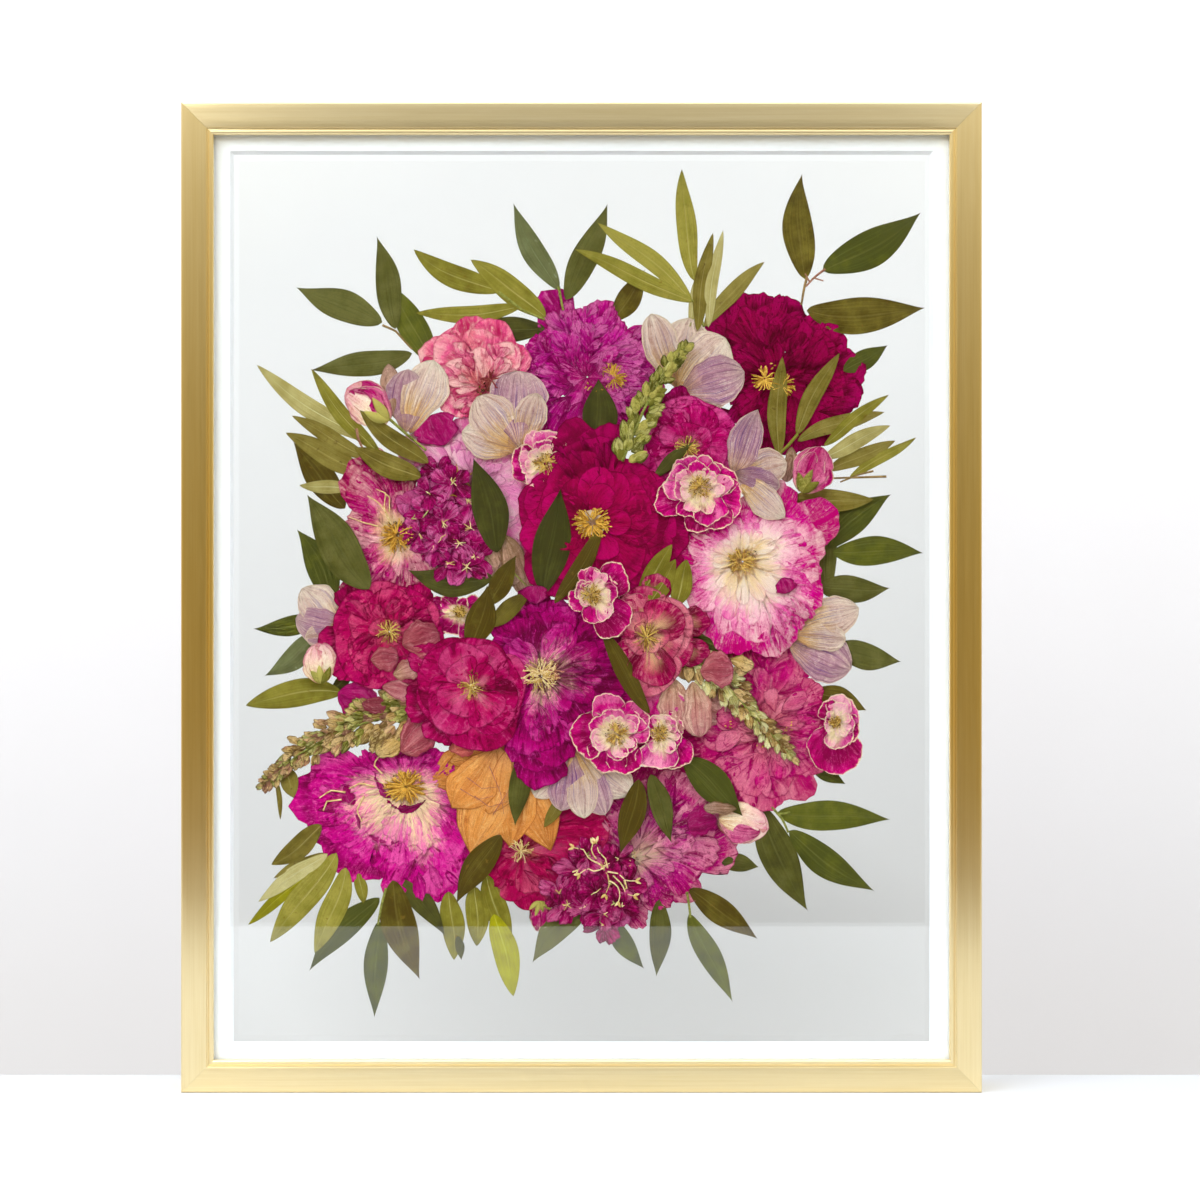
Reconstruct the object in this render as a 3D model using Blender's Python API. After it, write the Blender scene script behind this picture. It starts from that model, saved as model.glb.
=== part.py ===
"""Pressed flower frame: a gilt moulding holding two panes of glass, a white mat between them,
and a bouquet of pressed flowers and leaves fixed to the inside of the rear pane.
X runs to the right, Z up, and the front faces -Y.  Lengths are in metres."""

import math

import bmesh
import bpy

for existing in list(bpy.data.objects):
    bpy.data.objects.remove(existing, do_unlink=True)

MM = 0.001

# Moulding
FRAME_WIDTH = 429.4
FRAME_HEIGHT = 531.0
FRAME_DEPTH = 32.0
RAIL_FACE = 17.2
LIP_DEPTH = 4.5
RABBET_WALL = 11.0
EDGE_CHAMFER = 1.1
REAR_CHAMFER = 0.8
GROOVE_START = 13.7
GROOVE_END = 14.5
GROOVE_DEPTH = 1.0
GROOVE_SLOPE = 0.15
BEAD_TOP = 0.35
BEAD_FALL = 2.0
BEAD_STEPS = 6
BEAD_START_TURN = 0.12
MITRE_RELIEF = 0.21

# Sheets held in the rabbet, front to rear
FIT_GAP = 0.3
PANE_WIDTH = 406.4
PANE_HEIGHT = 508.0
PANE_THICKNESS = 2.0
MAT_THICKNESS = 1.8
MAT_EDGE_CLEARANCE = 0.4
WINDOW_LEFT = -187.4
WINDOW_RIGHT = 187.5
WINDOW_BOTTOM = 26.2
WINDOW_TOP = 504.0
SPACER_WIDTH = 8.0
SPACER_DEPTH = 9.6
STRIP_WIDTH = 6.0
STRIP_DEPTH = 5.0

# Pressed pieces
PRESSED_THICKNESS = 1.0
LAYER_STEP = PRESSED_THICKNESS + FIT_GAP
RIM_INSET = 0.90
RIM_SHARE = 0.45
CORNER_CUT = 0.2
SOFTENING_ROUNDS = 1

FRONT = -FRAME_DEPTH / 2
MIDDLE_HEIGHT = FRAME_HEIGHT / 2
FRONT_PANE_Y = FRONT + LIP_DEPTH + FIT_GAP
MAT_Y = FRONT_PANE_Y + PANE_THICKNESS + FIT_GAP
SPACER_Y = MAT_Y + MAT_THICKNESS + FIT_GAP
REAR_PANE_Y = SPACER_Y + SPACER_DEPTH + FIT_GAP
STRIP_Y = REAR_PANE_Y + PANE_THICKNESS + FIT_GAP
FIRST_LAYER_BACK = REAR_PANE_Y - FIT_GAP


def linear(channel):
    """One sRGB channel from 0 to 255 as linear light."""
    share = channel / 255.0
    if share <= 0.04045:
        return share / 12.92
    return ((share + 0.055) / 1.055) ** 2.4


def material(name, hex_colour, roughness, metallic=0.0, transmission=0.0):
    """A Principled material with one colour."""
    made = bpy.data.materials.new(name)
    made.use_nodes = True
    shader = made.node_tree.nodes["Principled BSDF"]
    rgb = [linear(int(hex_colour[i : i + 2], 16)) for i in (1, 3, 5)]
    shader.inputs["Base Color"].default_value = (rgb[0], rgb[1], rgb[2], 1.0)
    shader.inputs["Roughness"].default_value = roughness
    shader.inputs["Metallic"].default_value = metallic
    shader.inputs["Transmission Weight"].default_value = transmission
    made.diffuse_color = (rgb[0], rgb[1], rgb[2], 1.0)
    return made


GILT = material("gilt_foil", "#C0A05A", 0.35, metallic=1.0)
GLASS = material("float_glass", "#F4F8F6", 0.03, transmission=1.0)
MAT_BOARD = material("mat_board", "#F6F8FA", 0.9)
SPACER_WHITE = material("spacer_board", "#F0F0EE", 0.8)
STRIP_WOOD = material("strip_wood", "#C9A878", 0.7)
PETAL_PURPLE = material("petal_purple", "#A81E80", 0.8)
PETAL_CRIMSON = material("petal_crimson", "#8E0C4F", 0.8)
PETAL_PINK = material("petal_pink", "#D9568F", 0.8)
PETAL_PALE = material("petal_pale", "#E79AC8", 0.8)
PETAL_CREAM = material("petal_cream", "#E6D3B8", 0.8)
PETAL_ORANGE = material("petal_orange", "#E09A3E", 0.8)
BUD_GREEN = material("bud_green", "#8A9A4C", 0.8)
LEAF_DARK = material("leaf_dark", "#3E4F2A", 0.7)


def add_object(name, made_material, points, faces):
    """One closed body from points in millimetres, faces turned outward."""
    mesh = bpy.data.meshes.new(name)
    mesh.from_pydata([(x * MM, y * MM, z * MM) for x, y, z in points], [], faces)
    work = bmesh.new()
    work.from_mesh(mesh)
    bmesh.ops.recalc_face_normals(work, faces=work.faces)
    work.to_mesh(mesh)
    work.free()
    mesh.materials.append(made_material)
    made = bpy.data.objects.new(name, mesh)
    bpy.context.scene.collection.objects.link(made)
    return made


def rail_profile():
    """Section of the moulding: (distance in from the outer edge, depth back from the front)."""
    section = [
        (0.0, EDGE_CHAMFER),
        (EDGE_CHAMFER, 0.0),
        (GROOVE_START, 0.0),
        (GROOVE_START + GROOVE_SLOPE, GROOVE_DEPTH),
        (GROOVE_END, GROOVE_DEPTH),
    ]
    bead_width = RAIL_FACE - GROOVE_END
    for step in range(BEAD_STEPS + 1):
        share = step / BEAD_STEPS
        turn = math.pi * (BEAD_START_TURN + (1 - BEAD_START_TURN) * share)
        across = GROOVE_END + bead_width * (1 - math.cos(turn)) / 2
        drop = BEAD_TOP + BEAD_FALL * (1 - math.sin(turn)) * (1 + 2 * share) / 3
        section.append((across, drop))
    section += [
        (RAIL_FACE, LIP_DEPTH),
        (RABBET_WALL, LIP_DEPTH),
        (RABBET_WALL, FRAME_DEPTH),
        (REAR_CHAMFER, FRAME_DEPTH),
        (0.0, FRAME_DEPTH - REAR_CHAMFER),
    ]
    return section


def rail(name, side):
    """One mitred length of the moulding on the named side."""
    along_half = (FRAME_WIDTH if side in ("top", "bottom") else FRAME_HEIGHT) / 2
    section = rail_profile()
    points = []
    for end in (-1, 1):
        for inward, depth in section:
            s = end * (along_half - inward - MITRE_RELIEF)
            y = FRONT + depth
            if side == "bottom":
                points.append((s, y, inward))
            elif side == "top":
                points.append((s, y, FRAME_HEIGHT - inward))
            elif side == "left":
                points.append((-FRAME_WIDTH / 2 + inward, y, MIDDLE_HEIGHT + s))
            else:
                points.append((FRAME_WIDTH / 2 - inward, y, MIDDLE_HEIGHT + s))
    count = len(section)
    faces = [tuple(range(count)), tuple(range(2 * count - 1, count - 1, -1))]
    for i in range(count):
        j = (i + 1) % count
        faces.append((i, j, count + j, count + i))
    return add_object(name, GILT, points, faces)


def slab(name, made_material, left, right, bottom, top, front, depth):
    """A flat rectangular sheet or bar."""
    back = front + depth
    points = [
        (x, y, z) for y in (front, back) for x, z in
        ((left, bottom), (right, bottom), (right, top), (left, top))
    ]
    faces = [(0, 1, 2, 3), (7, 6, 5, 4)]
    for i in range(4):
        j = (i + 1) % 4
        faces.append((i, 4 + i, 4 + j, j))
    return add_object(name, made_material, points, faces)


def window_mat(name):
    """The mat board with its window cut at a 45 degree bevel."""
    half_width = PANE_WIDTH / 2 - MAT_EDGE_CLEARANCE
    half_height = PANE_HEIGHT / 2 - MAT_EDGE_CLEARANCE
    bottom = MIDDLE_HEIGHT - half_height
    top = MIDDLE_HEIGHT + half_height
    outer = ((-half_width, bottom), (half_width, bottom), (half_width, top), (-half_width, top))
    rear = (
        (WINDOW_LEFT, WINDOW_BOTTOM),
        (WINDOW_RIGHT, WINDOW_BOTTOM),
        (WINDOW_RIGHT, WINDOW_TOP),
        (WINDOW_LEFT, WINDOW_TOP),
    )
    grow = ((-1, -1), (1, -1), (1, 1), (-1, 1))
    front = [
        (x + MAT_THICKNESS * gx, z + MAT_THICKNESS * gz)
        for (x, z), (gx, gz) in zip(rear, grow, strict=True)
    ]
    back_y = MAT_Y + MAT_THICKNESS
    points = [(x, MAT_Y, z) for x, z in outer]
    points += [(x, MAT_Y, z) for x, z in front]
    points += [(x, back_y, z) for x, z in outer]
    points += [(x, back_y, z) for x, z in rear]
    faces = []
    for i in range(4):
        j = (i + 1) % 4
        faces.append((i, j, 4 + j, 4 + i))
        faces.append((8 + i, 12 + i, 12 + j, 8 + j))
        faces.append((i, 8 + i, 8 + j, j))
        faces.append((4 + i, 4 + j, 12 + j, 12 + i))
    return add_object(name, MAT_BOARD, points, faces)


def border(prefix, made_material, width, front, depth, clearance):
    """Four bars round the rabbet: two full width, two fitted between them."""
    half_width = PANE_WIDTH / 2 - clearance
    low = MIDDLE_HEIGHT - PANE_HEIGHT / 2 + clearance
    high = MIDDLE_HEIGHT + PANE_HEIGHT / 2 - clearance
    inner_low = low + width + FIT_GAP
    inner_high = high - width - FIT_GAP
    slab(prefix + "_bottom", made_material, -half_width, half_width, low, low + width, front, depth)
    slab(prefix + "_top", made_material, -half_width, half_width, high - width, high, front, depth)
    slab(prefix + "_left", made_material, -half_width, width - half_width, inner_low, inner_high,
         front, depth)
    slab(prefix + "_right", made_material, half_width - width, half_width, inner_low, inner_high,
         front, depth)


def softened(outline):
    """The outline with its corners cut round, still a plain polygon."""
    points = list(outline)
    for _ in range(SOFTENING_ROUNDS):
        eased = []
        for i, (x, z) in enumerate(points):
            nx, nz = points[(i + 1) % len(points)]
            eased.append((x + CORNER_CUT * (nx - x), z + CORNER_CUT * (nz - z)))
            eased.append((nx - CORNER_CUT * (nx - x), nz - CORNER_CUT * (nz - z)))
        points = eased
    return points


def pressed(name, made_material, layer, outline):
    """A flat pressed piece on its layer, thin at the rim and full in the middle."""
    rim = softened(outline)
    count = len(rim)
    cx = sum(x for x, z in rim) / count
    cz = sum(z for x, z in rim) / count
    back = FIRST_LAYER_BACK - layer * LAYER_STEP
    points = [(x, back, z) for x, z in rim]
    points += [(x, back - PRESSED_THICKNESS * RIM_SHARE, z) for x, z in rim]
    points += [
        (cx + (x - cx) * RIM_INSET, back - PRESSED_THICKNESS, cz + (z - cz) * RIM_INSET)
        for x, z in rim
    ]
    faces = [tuple(range(count - 1, -1, -1)), tuple(range(2 * count, 3 * count))]
    for ring in (0, count):
        for i in range(count):
            j = (i + 1) % count
            faces.append((ring + i, ring + j, ring + count + j, ring + count + i))
    return add_object(name, made_material, points, faces)


for side_name in ("bottom", "top", "left", "right"):
    rail("rail_" + side_name, side_name)

PANE_LOW = MIDDLE_HEIGHT - PANE_HEIGHT / 2
PANE_HIGH = MIDDLE_HEIGHT + PANE_HEIGHT / 2
for pane_name, pane_y in (("glass_front", FRONT_PANE_Y), ("glass_rear", REAR_PANE_Y)):
    slab(pane_name, GLASS, -PANE_WIDTH / 2, PANE_WIDTH / 2, PANE_LOW, PANE_HIGH, pane_y,
         PANE_THICKNESS)

window_mat("mat_window")
border("spacer", SPACER_WHITE, SPACER_WIDTH, SPACER_Y, SPACER_DEPTH, MAT_EDGE_CLEARANCE)
border("strip", STRIP_WOOD, STRIP_WIDTH, STRIP_Y, STRIP_DEPTH, 0.0)

# Every flower, bud, tulip, spike and large leaf: its layer (0 lies on the rear pane) and outline.
PRESSED_PIECES = (
    ("peony_purple", PETAL_PURPLE, 0, (
        (-14, 426), (-3, 419), (3, 424), (12, 423), (18, 416), (30, 413), (36, 405), (38, 390),
        (38, 376), (28, 366), (14, 356), (0, 351), (-15, 351), (-24, 356), (-27, 370),
        (-26, 383), (-34, 390), (-33, 399), (-20, 412), (-19, 421))),
    ("peony_dark_crimson", PETAL_CRIMSON, 0, (
        (70, 418), (80, 427), (90, 429), (100, 430), (112, 428), (121, 424), (128, 414),
        (140, 412), (143, 404), (147, 392), (150, 380), (147, 368), (138, 355), (124, 346),
        (106, 343), (92, 346), (84, 356), (80, 372), (79, 390), (80, 403), (71, 411))),
    ("rose_salmon", PETAL_PINK, 1, (
        (-85, 394), (-80, 402), (-70, 409), (-55, 414), (-46, 411), (-38, 404), (-32, 398),
        (-33, 388), (-44, 378), (-52, 368), (-64, 365), (-72, 368), (-75, 378), (-78, 386))),
    ("peony_lilac", PETAL_PALE, 0, (
        (-92, 350), (-80, 350), (-68, 352), (-50, 345), (-35, 342), (-26, 330), (-28, 310),
        (-34, 298), (-50, 297), (-64, 303), (-76, 318), (-84, 332), (-93, 342))),
    ("peony_deep_crimson", PETAL_CRIMSON, 4, (
        (-4, 348), (10, 348), (22, 344), (34, 334), (43, 328), (46, 312), (47, 298), (44, 285),
        (36, 273), (22, 268), (5, 265), (-10, 268), (-22, 275), (-33, 288), (-36, 303),
        (-33, 314), (-27, 325), (-18, 335), (-12, 344))),
    ("rose_crimson_pink", PETAL_PINK, 2, (
        (33, 352), (36, 362), (46, 370), (60, 373), (72, 370), (81, 361), (85, 349), (82, 338),
        (74, 329), (60, 326), (46, 328), (38, 334), (34, 342))),
    ("peony_pink_white", PETAL_PALE, 3, (
        (58, 268), (60, 258), (70, 246), (80, 239), (92, 238), (102, 241), (112, 242),
        (119, 250), (126, 262), (129, 274), (124, 284), (127, 296), (122, 308), (110, 316),
        (96, 316), (84, 312), (74, 304), (60, 298), (54, 288))),
    ("peony_cream_pink", PETAL_CREAM, 1, (
        (-130, 312), (-127, 325), (-123, 339), (-112, 334), (-100, 328), (-90, 327), (-82, 312),
        (-78, 298), (-76, 284), (-84, 272), (-96, 263), (-110, 262), (-122, 270), (-128, 285),
        (-130, 300))),
    ("stock_left", PETAL_CRIMSON, 2, (
        (-98, 330), (-90, 338), (-78, 342), (-68, 332), (-60, 326), (-54, 312), (-50, 298),
        (-51, 288), (-58, 279), (-70, 276), (-82, 280), (-90, 286), (-96, 300), (-99, 315))),
    ("rose_dark_pink", PETAL_CRIMSON, 2, (
        (-134, 246), (-131, 255), (-124, 266), (-112, 272), (-98, 272), (-86, 262), (-78, 252),
        (-77, 238), (-82, 226), (-92, 218), (-105, 216), (-118, 222), (-129, 232))),
    ("rose_crimson_left", PETAL_CRIMSON, 4, (
        (-89, 208), (-88, 222), (-84, 232), (-76, 240), (-66, 247), (-52, 245), (-42, 236),
        (-32, 226), (-30, 212), (-32, 198), (-40, 188), (-54, 185), (-68, 188), (-80, 197))),
    ("peony_violet", PETAL_PURPLE, 3, (
        (-42, 248), (-32, 258), (-18, 263), (0, 261), (12, 255), (22, 246), (30, 232),
        (30, 216), (22, 208), (8, 204), (-2, 196), (-6, 182), (-22, 172), (-36, 180),
        (-40, 192), (-33, 205), (-30, 220), (-36, 232), (-44, 240))),
    ("rose_small_right", PETAL_PINK, 5, (
        (20, 246), (22, 258), (28, 268), (38, 269), (48, 266), (57, 258), (60, 246), (57, 230),
        (50, 220), (40, 216), (31, 222), (24, 232))),
    ("peony_dusty_pink", PETAL_PINK, 1, (
        (62, 192), (68, 202), (80, 208), (90, 220), (94, 236), (104, 241), (116, 238),
        (121, 226), (128, 214), (134, 202), (130, 188), (127, 172), (120, 160), (104, 151),
        (92, 153), (82, 164), (72, 172), (64, 182))),
    ("peony_large_magenta", PETAL_PURPLE, 0, (
        (-156, 152), (-154, 164), (-144, 172), (-128, 174), (-112, 180), (-96, 182),
        (-80, 180), (-68, 176), (-58, 164), (-56, 148), (-59, 132), (-63, 114), (-69, 99),
        (-84, 99), (-96, 108), (-101, 118), (-106, 108), (-112, 113), (-124, 114),
        (-134, 117), (-142, 130), (-150, 140))),
    ("flower_crimson_low", PETAL_CRIMSON, 0, (
        (-50, 115), (-46, 126), (-40, 136), (-24, 146), (-8, 155), (4, 152), (10, 142),
        (9, 130), (0, 118), (-8, 108), (-18, 104), (-34, 105), (-44, 108))),
    ("peony_streaked_low", PETAL_PALE, 0, (
        (14, 150), (24, 160), (36, 163), (52, 165), (64, 158), (74, 150), (82, 138), (80, 126),
        (74, 118), (60, 110), (50, 103), (40, 96), (30, 100), (28, 112), (22, 122),
        (16, 136))),
    ("stock_low", PETAL_PURPLE, 1, (
        (-10, 100), (-10, 112), (-8, 124), (0, 132), (10, 133), (20, 128), (28, 118),
        (31, 104), (26, 92), (16, 85), (6, 89), (-4, 94))),
    ("spray_rose_a", PETAL_PALE, 3, (
        (-37, 345), (-30, 352), (-20, 354), (-8, 354), (-3, 351), (-8, 342), (-18, 334),
        (-28, 328), (-34, 322), (-40, 328), (-36, 337))),
    ("spray_rose_b", PETAL_PALE, 5, (
        (44, 320), (46, 332), (54, 340), (64, 341), (74, 338), (82, 330), (85, 318), (82, 308),
        (74, 301), (62, 299), (52, 304), (46, 311))),
    ("spray_rose_c", PETAL_PALE, 6, (
        (-9, 264), (-4, 270), (2, 278), (10, 284), (18, 282), (25, 274), (26, 262), (26, 252),
        (18, 246), (8, 252), (0, 259))),
    ("spray_rose_d", PETAL_PALE, 4, (
        (-4, 192), (-1, 202), (6, 208), (16, 212), (26, 209), (34, 202), (36, 190), (34, 180),
        (26, 172), (16, 171), (6, 176), (0, 184))),
    ("spray_rose_e", PETAL_PALE, 3, (
        (36, 200), (40, 212), (46, 214), (50, 206), (54, 196), (62, 192), (61, 185), (56, 180),
        (52, 172), (44, 167), (36, 172), (35, 184), (37, 192))),
    ("spray_rose_f", PETAL_PALE, 2, (
        (131, 210), (137, 216), (145, 214), (150, 204), (149, 192), (147, 182), (140, 172),
        (132, 174), (129, 182), (130, 194), (133, 202))),
    ("spray_rose_g", PETAL_PALE, 1, (
        (-86, 258), (-80, 265), (-68, 266), (-56, 262), (-50, 254), (-54, 246), (-64, 243),
        (-76, 247), (-84, 252))),
    ("bud_upper_left", PETAL_PALE, 3, (
        (-127, 371), (-124, 378), (-116, 382), (-108, 381), (-104, 374), (-106, 366),
        (-112, 361), (-120, 360), (-125, 365))),
    ("bud_right", PETAL_PALE, 5, (
        (113, 338), (116, 346), (125, 349), (130, 344), (134, 336), (134, 327), (128, 321),
        (121, 320), (115, 327))),
    ("bud_cream_left", PETAL_CREAM, 3, (
        (-152, 236), (-148, 243), (-140, 242), (-133, 239), (-131, 230), (-134, 220),
        (-141, 215), (-149, 218), (-151, 227))),
    ("bud_white_low", PETAL_CREAM, 1, (
        (71, 138), (74, 147), (82, 150), (92, 148), (98, 142), (96, 134), (88, 129),
        (78, 129))),
    ("bud_small_low", PETAL_PINK, 0, (
        (-31, 92), (-29, 99), (-23, 101), (-17, 98), (-15, 91), (-19, 84), (-26, 83))),
    ("tulip_upper_left", PETAL_CREAM, 2, (
        (-104, 365), (-102, 378), (-98, 388), (-90, 390), (-83, 394), (-75, 389), (-71, 378),
        (-74, 366), (-82, 358), (-92, 352), (-101, 357))),
    ("tulip_fan_centre", PETAL_CREAM, 2, (
        (-65, 356), (-58, 364), (-56, 374), (-48, 378), (-42, 386), (-34, 386), (-26, 377),
        (-24, 364), (-26, 354), (-36, 344), (-50, 345), (-60, 350))),
    ("tulip_upper_right", PETAL_CREAM, 1, (
        (36, 404), (38, 417), (45, 411), (55, 415), (68, 412), (78, 404), (79, 397), (86, 390),
        (84, 380), (72, 375), (56, 374), (44, 382), (38, 392))),
    ("tulip_star_right", PETAL_CREAM, 4, (
        (79, 332), (84, 346), (90, 358), (95, 366), (99, 354), (108, 345), (115, 338),
        (112, 330), (104, 324), (110, 310), (100, 308), (88, 316), (80, 324))),
    ("tulip_fan_low", PETAL_CREAM, 2, (
        (-20, 180), (-24, 168), (-26, 156), (-20, 150), (-12, 156), (-8, 160), (-4, 155),
        (2, 152), (8, 156), (16, 159), (23, 166), (20, 174), (8, 179), (-6, 182))),
    ("lily_orange", PETAL_ORANGE, 1, (
        (-77, 168), (-72, 176), (-56, 180), (-44, 182), (-36, 180), (-34, 166), (-26, 158),
        (-20, 152), (-20, 143), (-30, 131), (-36, 138), (-40, 131), (-44, 140), (-54, 133),
        (-58, 142), (-64, 150), (-76, 155))),
    ("tulip_petal_left", PETAL_CREAM, 1, (
        (-153, 258), (-150, 264), (-142, 266), (-135, 262), (-132, 252), (-138, 246),
        (-148, 244), (-153, 250))),
    ("tulip_pair_right", PETAL_CREAM, 2, (
        (122, 262), (132, 266), (144, 265), (149, 257), (144, 248), (143, 238), (144, 230),
        (136, 220), (124, 220), (116, 232), (112, 244), (118, 254))),
    ("snapdragon_top", BUD_GREEN, 5, (
        (18, 350), (16, 360), (22, 370), (30, 378), (34, 390), (42, 402), (52, 406), (58, 401),
        (54, 390), (50, 378), (42, 366), (38, 352), (34, 341), (27, 344))),
    ("snapdragon_left", BUD_GREEN, 1, (
        (-92, 218), (-104, 208), (-120, 204), (-134, 200), (-150, 196), (-160, 184),
        (-168, 174), (-174, 162), (-170, 157), (-162, 164), (-148, 174), (-130, 178),
        (-112, 184), (-98, 194), (-90, 206))),
    ("snapdragon_right", BUD_GREEN, 3, (
        (56, 236), (66, 234), (80, 224), (98, 220), (104, 206), (112, 192), (116, 180),
        (110, 178), (100, 188), (90, 194), (78, 204), (66, 212), (54, 222))),
    ("leaf_broad_left", LEAF_DARK, 3, (
        (-148.5, 321), (-142, 313), (-133, 308), (-125, 300), (-118, 292), (-113.5, 283),
        (-111.5, 274), (-118, 270), (-125, 268.5), (-133, 273), (-137, 279), (-142, 290),
        (-145, 302), (-146, 312))),
    ("leaf_centre_left", LEAF_DARK, 3, (
        (-58, 341), (-54, 335), (-49, 328), (-44, 320), (-40, 311), (-39.5, 303), (-41, 295),
        (-44, 289), (-50, 292), (-55, 300), (-58, 310), (-58.5, 320), (-57.5, 330))),
    ("leaf_centre", LEAF_DARK, 5, (
        (-11, 324), (-10.5, 315), (-9, 300), (-8.5, 290), (-10, 280), (-15, 272), (-27, 268),
        (-29, 279), (-30, 290), (-27, 301), (-20, 311), (-13, 318))),
    ("leaf_low_right", LEAF_DARK, 2, (
        (87, 147), (83, 154), (79, 162), (74, 170), (68, 178), (62, 183), (55, 178), (50, 168),
        (58, 160), (68, 155), (77, 152), (83, 148))),
)

for piece_name, piece_material, piece_layer, piece_outline in PRESSED_PIECES:
    pressed(piece_name, piece_material, piece_layer, piece_outline)
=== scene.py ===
"""Pressed flower frame: the gilt moulding, glass and mat, and every pressed flower, bud and leaf
between the panes, built and coloured over the fixed CAD frame."""

import math

import bmesh
import bpy
import numpy as np
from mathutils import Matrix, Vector


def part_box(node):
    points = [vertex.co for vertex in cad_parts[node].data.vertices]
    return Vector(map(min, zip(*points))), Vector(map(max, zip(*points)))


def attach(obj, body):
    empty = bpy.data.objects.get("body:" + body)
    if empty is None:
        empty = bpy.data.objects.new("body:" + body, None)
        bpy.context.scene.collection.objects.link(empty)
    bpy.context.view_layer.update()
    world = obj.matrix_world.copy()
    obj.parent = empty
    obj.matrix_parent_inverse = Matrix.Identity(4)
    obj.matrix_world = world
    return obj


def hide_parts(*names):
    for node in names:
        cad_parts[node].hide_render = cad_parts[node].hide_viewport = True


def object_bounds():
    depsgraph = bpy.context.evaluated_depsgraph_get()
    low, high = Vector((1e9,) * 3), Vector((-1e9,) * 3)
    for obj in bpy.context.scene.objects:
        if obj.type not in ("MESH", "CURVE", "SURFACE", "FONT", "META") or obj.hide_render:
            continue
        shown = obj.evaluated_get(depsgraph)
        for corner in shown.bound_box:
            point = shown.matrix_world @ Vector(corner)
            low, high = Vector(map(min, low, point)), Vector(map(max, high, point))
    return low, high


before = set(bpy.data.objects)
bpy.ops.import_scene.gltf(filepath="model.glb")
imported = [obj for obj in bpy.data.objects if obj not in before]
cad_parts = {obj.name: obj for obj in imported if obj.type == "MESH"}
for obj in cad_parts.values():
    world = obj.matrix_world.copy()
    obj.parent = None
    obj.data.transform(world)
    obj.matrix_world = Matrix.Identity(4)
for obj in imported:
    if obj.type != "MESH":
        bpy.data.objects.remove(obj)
CAD_LOW, CAD_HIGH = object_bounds()
MM = 0.001

# ---------------------------------------------------------------- depths of the press layers, in mm
REAR_PANE_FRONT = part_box("glass_rear")[0].y / MM
REAR_PANE_GAP = 0.4
PRESS_BACK = REAR_PANE_FRONT - REAR_PANE_GAP
LAYER_STEP = 1.3


def linear(hex_colour):
    """An sRGB hex colour as linear RGBA."""
    out = []
    for i in (1, 3, 5):
        share = int(hex_colour[i : i + 2], 16) / 255.0
        out.append(share / 12.92 if share <= 0.04045 else ((share + 0.055) / 1.055) ** 2.4)
    return (out[0], out[1], out[2], 1.0)


# ---------------------------------------------------------------- node helpers
def add(tree, kind, settings=None, **links):
    """Adds one node: settings are its properties or input values, links its input sockets."""
    node = tree.nodes.new(kind)
    for key, value in (settings or {}).items():
        if isinstance(key, int):
            node.inputs[key].default_value = value
        elif hasattr(node, key):
            setattr(node, key, value)
        else:
            node.inputs[key].default_value = value
    for key, source in links.items():
        name = key.replace("_", " ")
        socket = node.inputs[int(key[1:])] if key[0] == "i" and key[1:].isdigit() else node.inputs[name]
        tree.links.new(source, socket)
    return node


def new_material(name):
    """A material with its Principled shader, and the tree it is in."""
    made = bpy.data.materials.new(name)
    made.use_nodes = True
    return made, made.node_tree, made.node_tree.nodes["Principled BSDF"]


def ramp(tree, source, stops):
    """A colour ramp with the given (position, hex) stops."""
    node = add(tree, "ShaderNodeValToRGB", i0=source)
    elements = node.color_ramp.elements
    while len(elements) < len(stops):
        elements.new(0.5)
    for element, (place, colour) in zip(elements, stops, strict=True):
        element.position = place
        element.color = linear(colour)
    return node.outputs["Color"]


def span(tree, source, low, high, to_low=0.0, to_high=1.0):
    """The value mapped from one span to another, clamped."""
    node = add(tree, "ShaderNodeMapRange", {"From Min": low, "From Max": high, "To Min": to_low,
                                            "To Max": to_high}, Value=source)
    return node.outputs["Result"]


def sums(tree, operation, a, b):
    """Arithmetic on two values, either of them a plain number."""
    node = add(tree, "ShaderNodeMath", {"operation": operation})
    for socket, value in zip(node.inputs, (a, b), strict=False):
        if isinstance(value, (int, float)):
            socket.default_value = value
        else:
            tree.links.new(value, socket)
    return node.outputs[0]


def mixed(tree, share, first, second):
    """Two colours mixed; each is a hex string or a socket."""
    node = add(tree, "ShaderNodeMix", {"data_type": "RGBA"})
    sockets = [s for s in node.inputs if s.type == "RGBA"]
    for socket, colour in zip(sockets, (first, second), strict=True):
        if isinstance(colour, str):
            socket.default_value = linear(colour)
        else:
            tree.links.new(colour, socket)
    if isinstance(share, (int, float)):
        node.inputs["Factor"].default_value = share
    else:
        tree.links.new(share, node.inputs["Factor"])
    return [s for s in node.outputs if s.type == "RGBA"][0]


def noise(tree, vector, scale, detail=3.0, distortion=0.0, rough=0.55):
    """A noise value from 0 to 1."""
    node = add(tree, "ShaderNodeTexNoise", {"Scale": scale, "Detail": detail, "Roughness": rough,
                                            "Distortion": distortion}, Vector=vector)
    return node.outputs["Fac"]


def stretched(tree, vector, scale):
    """The vector scaled per axis."""
    node = add(tree, "ShaderNodeMapping", {"Scale": scale}, Vector=vector)
    return node.outputs["Vector"]


def deepened(tree, colour, saturation, value=1.0):
    """The same colour, stronger or darker."""
    return add(tree, "ShaderNodeHueSaturation", {"Saturation": saturation, "Value": value},
               Color=colour).outputs["Color"]


def bumped(tree, shader, height, distance, strength):
    """Relief from a height value, distance in metres."""
    node = add(tree, "ShaderNodeBump", {"Strength": strength, "Distance": distance}, Height=height)
    tree.links.new(node.outputs["Normal"], shader.inputs["Normal"])


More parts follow.
